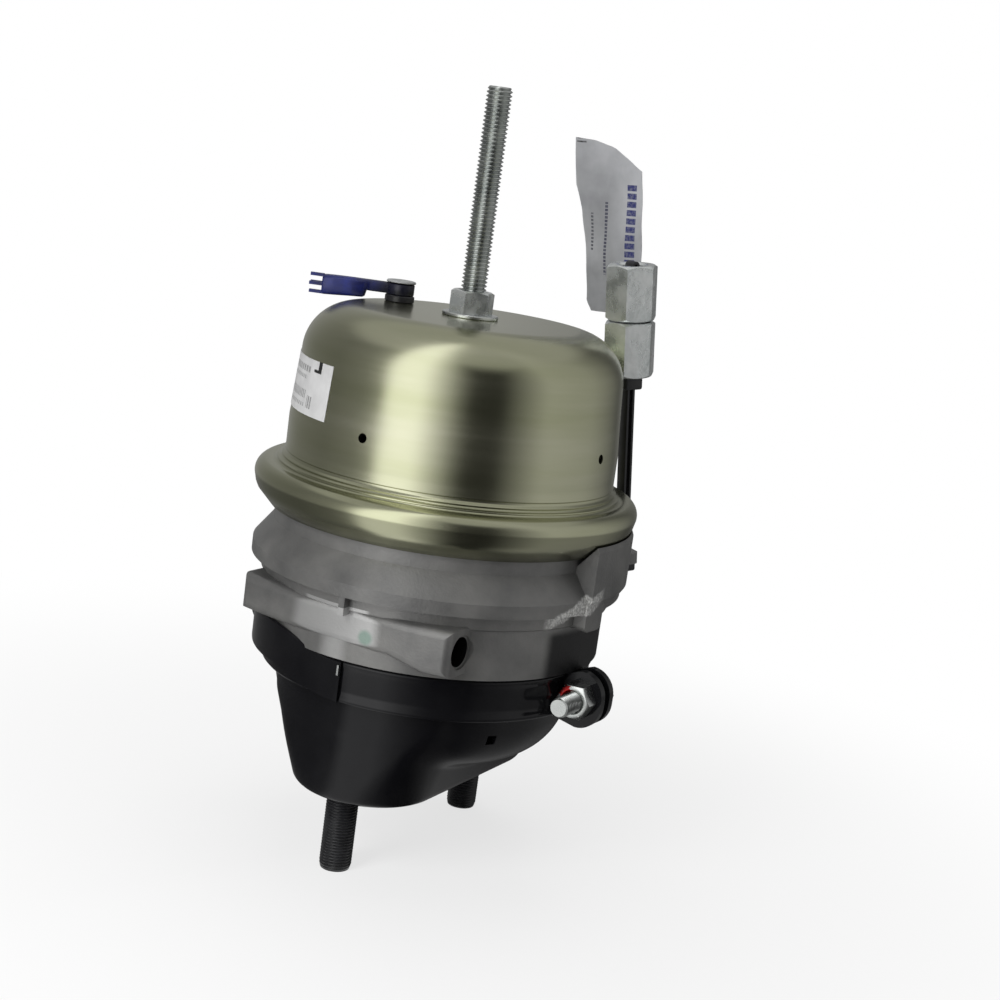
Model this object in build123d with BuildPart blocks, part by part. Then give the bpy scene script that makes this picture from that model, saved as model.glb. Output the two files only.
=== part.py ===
"""Combination spring brake chamber for a disc brake, with its spring caged by the release bolt.

The origin is the centre of the mounting face. +Z runs along the chamber's axis towards the
spring housing, and the two mounting studs lie on the Y axis. All sizes are in millimetres.
"""
import os
from math import cos, radians, sin, tan

from build123d import *

os.makedirs("parts", exist_ok=True)

# ---- clearances ----
running_gap = 0.05      # radial, shaft in a bush or nut
seat_gap = 0.3          # between a moving piece and what it rests on
fit_gap = 0.05          # radial, a fixed piece in its bore

# ---- stroke and mounting ----
stroke = 57.0
stud_spacing = 120.65
stud_radius = 8.0
stud_reach = 39.0       # below the mounting face
stud_shank_radius = 8.5     # pressed into the housing's wall
stud_head_radius = 11.0
stud_head_height = 8.0

# ---- service housing, the pressed bowl ----
bowl_wall = 3.5
boss_half_width = 36.0
boss_end_radius_at = 41.0   # from the axis to the centre of the boss's round ends
boss_edge_radius = 6.0
boss_draft = 18.0
dish_floor_height = 13.0    # outside of the dish's shallow cone where it meets the axis
dish_cone_radius = 56.0
dish_cone_height = 21.0
dish_side_radius = 74.5
dish_side_height = 43.0
rod_opening_radius = 23.0
drain_hole_size = 5.0
drain_hole_height = 40.0
drain_hole_azimuth = 60.5

# ---- clamped joint between the service housing and the centre body ----
joint_height = 63.0
diaphragm_thickness = 4.0
lip_radius = 80.5
lip_thickness = 5.0
neck_radius = 77.0
band_outer_radius = 85.0
band_wall = 3.0
band_mouth_radius = 78.3
band_gap = 5.0              # between the ears of the two halves
ear_margin = 7.2            # beyond the bolt's axis
ear_height = 20.0
ear_drop = 2.0              # of the ear's middle below the joint
ear_thickness = 4.0
clamp_bolt_radius = 5.0
clamp_nut_across_flats = 16.0
clamp_nut_height = 8.5
clamp_head_height = 6.5
clamp_bolt_tail = 14.0

# ---- centre body, the casting ----
skirt_radius = 86.6
skirt_foot = 74.5
step_height = 98.5
waist_radius = 88.2
ring_foot = 106.5
ring_radius = 93.6
ring_top = 113.0
neck_cone_top = 125.0
rim_neck_radius = 84.5
rim_underside = 133.0
rim_radius = 93.2
rim_shoulder = 142.6
rim_top = 147.5
lower_cavity_radius = 74.0
lower_ceiling_radius = 64.0
web_top = 118.0
web_thickness = 13.0
upper_floor_radius = 62.0
upper_cavity_radius = 81.0
spring_pocket_depth = 5.0
spring_pocket_inner = 23.0
spring_pocket_outer = 49.0

casting_lug_azimuth = 86.0
casting_lug_height = 105.0
casting_lug_size = 15.0
casting_lug_reach = 94.5
casting_lug_depth = 8.0
casting_rib_azimuth = 4.0
casting_rib_width = 3.0
casting_rib_reach = 93.0

# ---- lobe on the far side of the casting, below the rim ----
lobe_start = 82.0           # azimuths, from -Y towards +X
lobe_end = 158.0
lobe_build = 2.6            # of the lobe beyond the casting's ring
lobe_foot = 101.0
lobe_chamfer = 12.0
lobe_clearance = 0.8        # below the spring housing's rolled lip

# ---- port bar on the casting ----
bar_half_length = 59.5
bar_middle_face = 87.5      # distance of the bowed outer face from the axis
bar_end_face = 80.5
bar_back = 58.0
bar_foot = 82.5
bar_head = 100.5
bar_edge_radius = 4.0
port_boss_foot = 78.0       # the bar is deeper round the service port
port_boss_length = 13.0
port_boss_slope = 18.0
port_axis_at = 69.5
port_radius = 7.25          # M16 x 1.5 tapped hole
port_depth = 15.0
port_face_radius = 8.4
port_face_depth = 1.0
port_face_reach = 4.0       # of the spot face past the bar's end, through the skirt
passage_radius = 4.0

# ---- spring housing, the dome ----
dome_wall = 2.6
dome_top = 234.0
dome_shoulder_radius = 25.0
dome_top_radius = 80.0
dome_radius = 82.5
dome_taper_start = 176.0
flare_start = 156.5
flare_blend = 5.0
crimp_build = 3.2           # of the crimp beyond the casting's rim
crimp_gap = 0.1
crimp_middle = 148.5
bolt_hole_radius = 8.5
vent_radius = 2.3
vent_height = 179.0
vent_count = 4

# ---- release bolt, nut and washer ----
bolt_radius = 6.35          # 1/2 in-13 thread
bolt_top = 345.5
tee_length = 24.0
tee_width = 12.0
tee_thickness = 6.0
release_nut_across_flats = 19.05
release_nut_height = 11.1
release_nut_chamfer = 1.0
washer_radius = 14.0
washer_thickness = 1.8

# ---- moving pieces of the spring chamber ----
diaphragm_wall = 3.0
adapter_rod_radius = 12.5
adapter_disc_radius = 56.0
adapter_disc_thickness = 5.0
plate_radius = 68.0
plate_thickness = 4.0
plate_rim_height = 9.0
plate_hub_radius = 23.0
plate_hub_height = 18.0
hub_roof = 6.0
bush_radius = 18.0
ring_seal_radius = 1.75
power_wire_radius = 5.6
power_spring_radius = 60.0
power_turns = 3.2
adapter_wire_radius = 2.0
adapter_spring_radius = 38.0
adapter_turns = 5
wire_sides = 8

# ---- moving pieces of the service chamber ----
push_plate_radius = 57.0
push_plate_thickness = 4.0
collar_wall = 6.0
collar_height = 5.0
push_rod_radius = 11.0
push_rod_tip = 14.0
push_rod_pad_radius = 14.0
push_rod_pad_height = 7.0
return_wire_radius = 1.9
return_spring_radius = 28.0
return_turns = 7
boot_wall = 1.5
boot_height = 19.0
boot_folds = 3
boot_ring_height = 3.0

# ---- nuts, tie and tag beside the spring housing ----
tie_azimuth = 147.0         # from -Y towards +X
tie_lean = 7.5
tie_middle_height = 225.0   # of the lower nut
tie_crimp_gap = 5.5         # between the tie and the spring housing's crimp
tie_width = 7.6
tie_thickness = 5.0         # the two plies of the tie, side by side
tie_head_width = 13.0
tie_head_height = 7.0
tie_foot_height = 5.0
tie_tail = 4.0              # beyond the upper nut
mounting_nut_across_flats = 24.0
mounting_nut_height = 28.5
mounting_nut_bore_radius = 7.2
mounting_nut_cone = 5.0
mounting_nut_turn = 49.0
lug_height = 117.0
lug_thickness = 6.0
lug_width = 20.0
lug_margin = 3.0
tag_thickness = 0.6
tag_length = 91.0
tag_facing = 30.0           # azimuth that the tag's face is turned from
tag_turn = 35.0
tag_hole_radius = 5.7
tag_tab_width = 22.0
tag_fold_margin = 1.5       # between the upper nut's corners and the fold

# ---- dust plug on the spring housing ----
plug_radius_at = 45.5
plug_azimuth = -96.0
plug_direction = -60.0
button_radius = 7.5
button_neck_radius = 4.5
button_height = 11.0
button_foot = 3.5
button_head = 1.5
strap_gap = 0.2             # above and below the strap
plug_length = 39.5
plug_body_length = 21.0
plug_body_drop = 3.4        # of the plug's body below the strap, where it starts
plug_end_drop = 4.9
plug_width = 11.0
plug_prong_length = 6.5
plug_prong_thickness = 1.6
plug_prong_width = 2.6
plug_prong_spread = 4.3
plug_ring_margin = 0.5      # of the strap's ring inside the button's edge
plug_neck_length = 2.0
plug_edge_radius = 1.5

# ---- label ----
label_foot = 181.0
label_head = 208.0
label_start = -60.0
label_end = -14.5
label_thickness = 0.3


# ---- heights that follow from the sizes above ----
lower_ceiling = web_top - web_thickness
lip_top = joint_height - diaphragm_thickness / 2
body_lip_foot = joint_height + diaphragm_thickness / 2
push_plate_top = lower_ceiling - 2 * seat_gap - diaphragm_wall - 1.0
adapter_foot = push_plate_top + diaphragm_wall + 2 * seat_gap
adapter_disc_foot = web_top + stroke + 1.4 * seat_gap
adapter_disc_top = adapter_disc_foot + adapter_disc_thickness
plate_foot = adapter_disc_top + diaphragm_wall + 2 * seat_gap
dome_inside_top = dome_top - dome_wall
bead_top = rim_top + diaphragm_wall
dome_shoulder_foot = dome_top - dome_shoulder_radius
crimp_radius = rim_radius + crimp_build
lobe_radius = ring_radius + lobe_build
washer_foot = dome_top + 0.02
nut_foot = washer_foot + washer_thickness + 0.02


# the spring housing's lip is rolled in along the sloped underside of the casting's rim
lip_run = Vector(rim_radius - rim_neck_radius, rim_shoulder - rim_underside).normalized()
lip_out = Vector(lip_run.Y, -lip_run.X)
rim_foot = Vector(rim_neck_radius, rim_underside) + lip_run
lip_start = rim_foot + lip_out * crimp_gap
lip_end = lip_start + lip_out * dome_wall
lip_corner = Vector(rim_radius, rim_shoulder) + lip_out * (dome_wall + crimp_gap)


def around(radius, azimuth, height):
    """A point at an azimuth measured from -Y towards +X."""
    return Vector(radius * sin(radians(azimuth)), -radius * cos(radians(azimuth)), height)


def direction(azimuth):
    return around(1, azimuth, 0)


def dome_wall_radius(height):
    """Outer radius of the dome's tapered wall between the taper's start and the shoulder."""
    share = (height - dome_taper_start) / (dome_shoulder_foot - dome_taper_start)
    return dome_radius + (dome_top_radius - dome_radius) * share


def save(piece, name):
    piece.part.label = name
    export_step(piece.part, f"parts/{name}.step")


# ================= service housing =================
def bowl_sections(inset):
    """Outline of the dish in the half plane, set in by a wall thickness."""
    foot = dish_floor_height + inset
    with BuildLine() as outline:
        Polyline(
            (0, foot),
            (boss_half_width - inset, foot),
            (dish_cone_radius - inset, dish_cone_height + inset * 0.7),
        )
        slope = Vector(dish_cone_radius - boss_half_width, dish_cone_height - dish_floor_height)
        TangentArc(
            (dish_cone_radius - inset, dish_cone_height + inset * 0.7),
            (dish_side_radius - inset, dish_side_height),
            tangent=slope,
        )
        Polyline(
            (dish_side_radius - inset, dish_side_height),
            (neck_radius - inset, lip_top - lip_thickness),
            (neck_radius - inset, lip_top),
            (0, lip_top),
            (0, foot),
        )
    return outline


bowl_depth = lip_top - lip_thickness
wall_across_draft = bowl_wall / cos(radians(boss_draft))
inside_half_width = boss_half_width - wall_across_draft + bowl_wall * tan(radians(boss_draft))

with BuildPart() as bowl_inside:
    with BuildSketch(Plane.XY.offset(bowl_wall)):
        SlotCenterToCenter(2 * boss_end_radius_at, 2 * inside_half_width, rotation=90)
    extrude(amount=bowl_depth - 2 * bowl_wall, taper=-boss_draft)
    fillet(bowl_inside.faces().sort_by(Axis.Z)[0].edges(), boss_edge_radius - bowl_wall)
    with BuildSketch(Plane.XY):
        Circle(neck_radius - bowl_wall)
    extrude(amount=bowl_depth, mode=Mode.INTERSECT)
    with BuildSketch(Plane.XZ):
        add(bowl_sections(bowl_wall).line)
        make_face()
    revolve(axis=Axis.Z)

with BuildPart() as service_housing:
    with BuildSketch(Plane.XY):
        SlotCenterToCenter(2 * boss_end_radius_at, 2 * boss_half_width, rotation=90)
    extrude(amount=bowl_depth, taper=-boss_draft)
    fillet(service_housing.faces().sort_by(Axis.Z)[0].edges(), boss_edge_radius)
    with BuildSketch(Plane.XY):
        Circle(neck_radius)
    extrude(amount=bowl_depth, mode=Mode.INTERSECT)
    with BuildSketch(Plane.XZ):
        add(bowl_sections(0).line)
        make_face()
    revolve(axis=Axis.Z)
    with BuildSketch(Plane.XY.offset(bowl_depth)):
        Circle(lip_radius)
    extrude(amount=lip_thickness)
    add(bowl_inside.part, mode=Mode.SUBTRACT)
    with BuildSketch(Plane.XY):
        Circle(rod_opening_radius)
        with Locations((0, stud_spacing / 2), (0, -stud_spacing / 2)):
            Circle(stud_shank_radius + fit_gap)
    extrude(amount=dish_floor_height, mode=Mode.SUBTRACT)
    # the drain hole goes straight through the dish's side
    drain_place = around(neck_radius, drain_hole_azimuth, drain_hole_height)
    with BuildSketch(Plane(drain_place, z_dir=direction(drain_hole_azimuth))):
        Rectangle(drain_hole_size, drain_hole_size)
    extrude(amount=-neck_radius / 4, mode=Mode.SUBTRACT)
save(service_housing, "service_housing")

with BuildPart() as mounting_studs:
    with BuildSketch(Plane.XY.offset(-stud_reach)):
        with Locations((0, stud_spacing / 2), (0, -stud_spacing / 2)):
            Circle(stud_radius)
    extrude(amount=stud_reach)
    chamfer(mounting_studs.edges().group_by(Axis.Z)[0], 1.8)
    with BuildSketch(Plane.XY):
        with Locations((0, stud_spacing / 2), (0, -stud_spacing / 2)):
            Circle(stud_shank_radius)
    extrude(amount=bowl_wall)
    with BuildSketch(Plane.XY.offset(bowl_wall)):
        with Locations((0, stud_spacing / 2), (0, -stud_spacing / 2)):
            Circle(stud_head_radius)
    extrude(amount=stud_head_height)
save(mounting_studs, "mounting_studs")

with BuildPart() as push_rod:
    with BuildSketch(Plane.XZ):
        with BuildLine():
            Polyline(
                (0, push_rod_tip),
                (push_rod_pad_radius - 3, push_rod_tip),
                (push_rod_pad_radius, push_rod_tip + 2),
                (push_rod_pad_radius, push_rod_tip + push_rod_pad_height),
                (push_rod_radius, push_rod_tip + push_rod_pad_height + 3),
                (push_rod_radius, push_plate_top - push_plate_thickness),
                (0, push_plate_top - push_plate_thickness),
                (0, push_rod_tip),
            )
        make_face()
    revolve(axis=Axis.Z)
save(push_rod, "push_rod")

with BuildPart() as push_plate:
    with BuildSketch(Plane.XY.offset(push_plate_top - push_plate_thickness)):
        Circle(push_plate_radius)
    extrude(amount=push_plate_thickness)
    fillet(push_plate.edges().group_by(Axis.Z)[-1], push_plate_thickness * 0.45)
    with BuildSketch(Plane.XY.offset(push_plate_top - push_plate_thickness - collar_height)):
        Circle(push_rod_radius + collar_wall)
        Circle(push_rod_radius + fit_gap, mode=Mode.SUBTRACT)
    extrude(amount=collar_height)
save(push_plate, "push_plate")

with BuildPart() as return_spring:
    spring_foot = bowl_wall + return_wire_radius + 0.1
    spring_head = push_plate_top - push_plate_thickness - return_wire_radius - 0.1
    with BuildLine() as return_path:
        Helix(
            pitch=(spring_head - spring_foot) / return_turns,
            height=spring_head - spring_foot,
            radius=return_spring_radius,
            center=(0, 0, spring_foot),
        )
    with BuildSketch(Plane(return_path.line @ 0, z_dir=return_path.line % 0)):
        RegularPolygon(return_wire_radius, wire_sides)
    sweep(path=return_path.line, is_frenet=True)
save(return_spring, "return_spring")

boot_outer = rod_opening_radius - 0.1
boot_inner = push_rod_radius + seat_gap
boot_foot = bowl_wall + boot_ring_height
with BuildPart() as rod_boot:
    with BuildSketch(Plane.XZ):
        with BuildLine() as boot_line:
            fold_width = (boot_outer - 3 - push_rod_pad_radius - 4) / boot_folds
            fold_height = boot_height / boot_folds
            corners = [(boot_outer - 2.2, boot_foot)]
            for fold in range(boot_folds):
                start_r = boot_outer - 2.2 - fold * fold_width
                start_z = boot_foot + fold * fold_height
                corners.append((start_r - fold_width * 0.1, start_z + fold_height * 0.75))
                corners.append((start_r - fold_width, start_z + fold_height))
            corners.append((boot_inner + boot_wall, boot_foot + boot_height + 5))
            corners.append((boot_inner + boot_wall, boot_foot + boot_height + 10))
            Polyline(*corners)
            offset(amount=boot_wall, side=Side.LEFT)
        make_face()
    revolve(axis=Axis.Z)
save(rod_boot, "rod_boot")

with BuildPart() as boot_ring:
    with BuildSketch(Plane.XZ):
        with BuildLine():
            Polyline(
                (rod_opening_radius - 3.4, 0.6),
                (rod_opening_radius - fit_gap, 0.6),
                (rod_opening_radius - fit_gap, bowl_wall),
                (rod_opening_radius + 1.6, bowl_wall),
                (rod_opening_radius + 1.6, bowl_wall + boot_ring_height - 0.1),
                (rod_opening_radius - 3.4, bowl_wall + boot_ring_height - 0.1),
                (rod_opening_radius - 3.4, 0.6),
            )
        make_face()
    revolve(axis=Axis.Z)
save(boot_ring, "boot_ring")

with BuildPart() as service_diaphragm:
    with BuildSketch(Plane.XZ):
        with BuildLine():
            foot = push_plate_top + seat_gap
            Polyline(
                (0, foot),
                (push_plate_radius + 1, foot),
                (lower_cavity_radius - diaphragm_wall - 3, joint_height - diaphragm_thickness / 2),
                (lip_radius - 0.5, joint_height - diaphragm_thickness / 2),
                (lip_radius - 0.5, joint_height + diaphragm_thickness / 2),
                (lower_cavity_radius - 1.5, joint_height + diaphragm_thickness / 2),
                (push_plate_radius + 3.2, foot + diaphragm_wall),
                (0, foot + diaphragm_wall),
                (0, foot),
            )
        make_face()
    revolve(axis=Axis.Z)
save(service_diaphragm, "service_diaphragm")

# ================= centre body =================
tie_slope = tan(radians(tie_lean))
lobe_brow = lip_corner + lip_out * lobe_clearance
# the tie passes outside both the spring housing's crimp and the lobe
tie_radius_at = tie_crimp_gap + tie_thickness / 2 + max(
    crimp_radius - (tie_middle_height - crimp_middle) * tie_slope,
    lobe_radius - (tie_middle_height - lobe_brow.Y) * tie_slope,
)
tie_origin = around(tie_radius_at, tie_azimuth, tie_middle_height)
tie_axis = Vector(0, 0, 1) * cos(radians(tie_lean)) - direction(tie_azimuth) * sin(radians(tie_lean))
tie_side = Vector(0, 0, 1).cross(direction(tie_azimuth))
tie_plane = Plane(tie_origin, x_dir=tie_side.cross(tie_axis), z_dir=tie_axis)
lug_offset = (lug_height - tie_middle_height) / cos(radians(tie_lean))
lug_reach = tie_thickness / 2 + lug_margin
lug_root = tie_radius_at + (tie_middle_height - lug_height) * tie_slope - rim_neck_radius

# outline of the port bar, seen from above and from the front
with BuildPart() as port_bar:
    with BuildSketch(Plane.XY.offset(port_boss_foot)):
        with BuildLine():
            ThreePointArc(
                (-bar_half_length, -bar_end_face),
                (0, -bar_middle_face),
                (bar_half_length, -bar_end_face),
            )
            Polyline(
                (bar_half_length, -bar_end_face),
                (bar_half_length, -bar_back),
                (-bar_half_length, -bar_back),
                (-bar_half_length, -bar_end_face),
            )
        make_face()
    extrude(amount=bar_head - port_boss_foot)
    with BuildSketch(Plane.XZ):
        with BuildLine():
            Polyline(
                (-bar_half_length, bar_foot),
                (bar_half_length - port_boss_length - port_boss_slope, bar_foot),
                (bar_half_length - port_boss_length, port_boss_foot),
                (bar_half_length, port_boss_foot),
                (bar_half_length, bar_head),
                (-bar_half_length, bar_head),
                (-bar_half_length, bar_foot),
            )
        make_face()
    extrude(amount=bar_middle_face, mode=Mode.INTERSECT)
    front_edges = port_bar.faces().sort_by(Axis.Y)[0].edges()
    fillet(front_edges, bar_edge_radius)

with BuildPart() as centre_body:
    with BuildSketch(Plane.XZ):
        with BuildLine():
            Polyline(
                (bush_radius + fit_gap, lower_ceiling),
                (lower_ceiling_radius, lower_ceiling),
                (lower_cavity_radius, body_lip_foot),
                (lip_radius, body_lip_foot),
                (lip_radius, body_lip_foot + lip_thickness),
                (neck_radius + 1, body_lip_foot + lip_thickness + 0.5),
                (neck_radius + 1, skirt_foot),
                (skirt_radius, skirt_foot),
                (skirt_radius, step_height),
                (waist_radius, step_height + 1.2),
                (waist_radius, ring_foot - 1.5),
                (ring_radius, ring_foot),
                (ring_radius, ring_top),
                (rim_neck_radius, neck_cone_top),
                (rim_neck_radius, rim_underside),
                (rim_radius, rim_shoulder),
                (rim_radius, rim_top),
                (upper_cavity_radius, rim_top),
                (upper_floor_radius, web_top),
                (spring_pocket_outer, web_top),
                (spring_pocket_outer, web_top - spring_pocket_depth),
                (spring_pocket_inner, web_top - spring_pocket_depth),
                (spring_pocket_inner, web_top),
                (bush_radius + fit_gap, web_top),
                (bush_radius + fit_gap, lower_ceiling),
            )
        make_face()
    revolve(axis=Axis.Z)
    # the bar along the near side that holds both air ports
    add(port_bar.part)
    # a small cast lug above the clamp's bolt and a rib above the bar
    lug_place = around(casting_lug_reach, casting_lug_azimuth, casting_lug_height)
    with BuildSketch(Plane(lug_place, x_dir=(0, 0, 1), z_dir=direction(casting_lug_azimuth))):
        RectangleRounded(casting_lug_size, casting_lug_size, 3)
    extrude(amount=-casting_lug_depth)
    rib_place = around(casting_rib_reach, casting_rib_azimuth, (step_height + ring_foot) / 2)
    with BuildSketch(Plane(rib_place, x_dir=(0, 0, 1), z_dir=direction(casting_rib_azimuth))):
        Rectangle(ring_foot - step_height + 2, casting_rib_width)
    extrude(amount=-casting_lug_depth)
    # the lobe below the rim and the lug that the tie is hooked to
    lobe_back = rim_neck_radius - 2
    with BuildSketch(Plane((0, 0, 0), x_dir=direction(lobe_start), z_dir=direction(lobe_start - 90))):
        with BuildLine():
            Polyline(
                (lobe_back, lobe_foot),
                (waist_radius + 0.5, lobe_foot),
                (lobe_radius, lobe_foot + lobe_chamfer),
                (lobe_radius, lobe_brow.Y - 3),
                (lobe_brow.X - lip_run.X, lobe_brow.Y - lip_run.Y),
                (lobe_back, lobe_brow.Y - (lobe_brow.X - lobe_back) * lip_run.Y / lip_run.X),
                (lobe_back, lobe_foot),
            )
        make_face()
    revolve(axis=Axis.Z, revolution_arc=lobe_end - lobe_start)
    with BuildSketch(tie_plane.offset(lug_offset)):
        with Locations(((lug_reach - lug_root) / 2, 0)):
            RectangleRounded(lug_reach + lug_root, lug_width, 4)
    extrude(amount=-lug_thickness)
    # the lower chamber, cleared of what the bar and lug put into it
    with BuildSketch(Plane.XZ):
        with BuildLine():
            Polyline(
                (0, body_lip_foot - 5),
                (lower_cavity_radius, body_lip_foot - 5),
                (lower_cavity_radius, body_lip_foot),
                (lower_ceiling_radius, lower_ceiling),
                (0, lower_ceiling),
                (0, body_lip_foot - 5),
            )
        make_face()
    revolve(axis=Axis.Z, mode=Mode.SUBTRACT)
    with BuildSketch(tie_plane.offset(lug_offset + 1)):
        Rectangle(tie_thickness + 2 * fit_gap, tie_width + 2 * fit_gap)
    extrude(amount=-lug_thickness - 2, mode=Mode.SUBTRACT)
    # air ports in the bar's ends, each with its passage into a chamber
    service_port = Vector(bar_half_length, -port_axis_at, (port_boss_foot + bar_head) / 2)
    spring_port = Vector(-bar_half_length, -port_axis_at, (bar_foot + bar_head) / 2)
    for port, inward in ((service_port, -1), (spring_port, 1)):
        with BuildSketch(Plane(port, z_dir=(inward, 0, 0)).offset(-port_face_reach)):
            Circle(port_face_radius)
        extrude(amount=port_face_reach + port_face_depth, mode=Mode.SUBTRACT)
        with BuildSketch(Plane(port, z_dir=(inward, 0, 0))):
            Circle(port_radius)
        extrude(amount=port_face_depth + port_depth, mode=Mode.SUBTRACT)
    passage_depth = port_face_depth + port_depth - passage_radius - 1
    with BuildSketch(Plane(service_port - Vector(passage_depth, 0, 0), z_dir=(0, 1, 0))):
        Circle(passage_radius)
    extrude(amount=lower_cavity_radius / 2, mode=Mode.SUBTRACT)
    chamber_point = around(upper_floor_radius + 2, -34, web_top + 8)
    passage_start = spring_port + Vector(passage_depth, 0, 0)
    with BuildSketch(Plane(passage_start, z_dir=chamber_point - passage_start)):
        Circle(passage_radius)
    extrude(amount=(chamber_point - passage_start).length, mode=Mode.SUBTRACT)
save(centre_body, "centre_body")

with BuildPart() as rod_bush:
    seal_middle = (lower_ceiling + web_top) / 2
    with BuildSketch(Plane.XZ):
        with BuildLine():
            inner = adapter_rod_radius + running_gap
            groove = inner + 2 * ring_seal_radius + 0.2
            half = ring_seal_radius + 0.2
            Polyline(
                (inner, lower_ceiling),
                (bush_radius, lower_ceiling),
                (bush_radius, web_top),
                (inner, web_top),
                (inner, seal_middle + half),
                (groove, seal_middle + half),
                (groove, seal_middle - half),
                (inner, seal_middle - half),
                (inner, lower_ceiling),
            )
        make_face()
    revolve(axis=Axis.Z)
save(rod_bush, "rod_bush")

with BuildPart() as rod_seal:
    with BuildSketch(Plane.XZ):
        with Locations((adapter_rod_radius + running_gap + ring_seal_radius, seal_middle)):
            Circle(ring_seal_radius)
    revolve(axis=Axis.Z)
save(rod_seal, "rod_seal")

# ================= clamp band =================
bolt_at = band_outer_radius + clamp_nut_across_flats / 2 + seat_gap
ear_root = band_outer_radius - 4
ear_tip = bolt_at + ear_margin
lower_leg = lip_top - lip_thickness - seat_gap
upper_leg = body_lip_foot + lip_thickness + 0.5 + seat_gap
band_margin = band_outer_radius / 5

with BuildPart() as front_clamp:
    with BuildSketch(Plane.XZ):
        with BuildLine():
            Polyline(
                (band_mouth_radius, lower_leg - 0.4 * band_wall),
                (band_outer_radius - 1.5, lower_leg - band_wall),
                (band_outer_radius, lower_leg - band_wall + 1.5),
                (band_outer_radius, upper_leg + band_wall - 1.5),
                (band_outer_radius - 1.5, upper_leg + band_wall),
                (band_mouth_radius + 1, upper_leg + 0.8 * band_wall),
                (band_mouth_radius + 1, upper_leg),
                (lip_radius + seat_gap + 0.6, upper_leg),
                (lip_radius + seat_gap + 0.6, lower_leg),
                (band_mouth_radius, lower_leg),
                (band_mouth_radius, lower_leg - 0.4 * band_wall),
            )
        make_face()
    revolve(axis=Axis.Z)
    with BuildSketch(Plane.XZ.offset(band_gap / 2)):
        for side in (-1, 1):
            with Locations((side * (ear_root + ear_tip) / 2, joint_height - ear_drop)):
                RectangleRounded(ear_tip - ear_root, ear_height, 5)
    extrude(amount=ear_thickness)
    # only the half on the -Y side stays
    with BuildSketch(Plane.XY.offset(lower_leg - 2 * band_wall)):
        with Locations((0, (band_outer_radius + band_margin - band_gap / 2) / 2)):
            Rectangle(2 * (ear_tip + band_margin), band_outer_radius + band_margin + band_gap / 2)
    extrude(amount=ear_height * 2, mode=Mode.SUBTRACT)
    with BuildSketch(Plane.XZ.offset(band_gap / 2)):
        with Locations((bolt_at, joint_height), (-bolt_at, joint_height)):
            Circle(clamp_bolt_radius + 0.4)
    extrude(amount=ear_thickness, mode=Mode.SUBTRACT)
save(front_clamp, "front_clamp")

with BuildPart() as rear_clamp:
    add(front_clamp.part.rotate(Axis.Z, 180))
save(rear_clamp, "rear_clamp")

ear_face = band_gap / 2 + ear_thickness
bolt_places = [(bolt_at, joint_height), (-bolt_at, joint_height)]

with BuildPart() as clamp_bolts:
    with BuildSketch(Plane.XZ.offset(-ear_face - clamp_head_height - 0.02)):
        with Locations(*bolt_places):
            RegularPolygon(clamp_nut_across_flats / 2, 6, major_radius=False, rotation=30)
    extrude(amount=clamp_head_height)
    with BuildSketch(Plane.XZ.offset(-ear_face - 0.02)):
        with Locations(*bolt_places):
            Circle(clamp_bolt_radius)
    extrude(amount=2 * ear_face + clamp_nut_height + clamp_bolt_tail)
    chamfer(clamp_bolts.edges().group_by(Axis.Y)[0], 1.0)
save(clamp_bolts, "clamp_bolts")

with BuildPart() as clamp_nuts:
    with BuildSketch(Plane.XZ.offset(ear_face + 0.02)):
        with Locations(*bolt_places):
            RegularPolygon(clamp_nut_across_flats / 2, 6, major_radius=False, rotation=30)
            Circle(clamp_bolt_radius + fit_gap, mode=Mode.SUBTRACT)
    extrude(amount=clamp_nut_height)
save(clamp_nuts, "clamp_nuts")

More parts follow.
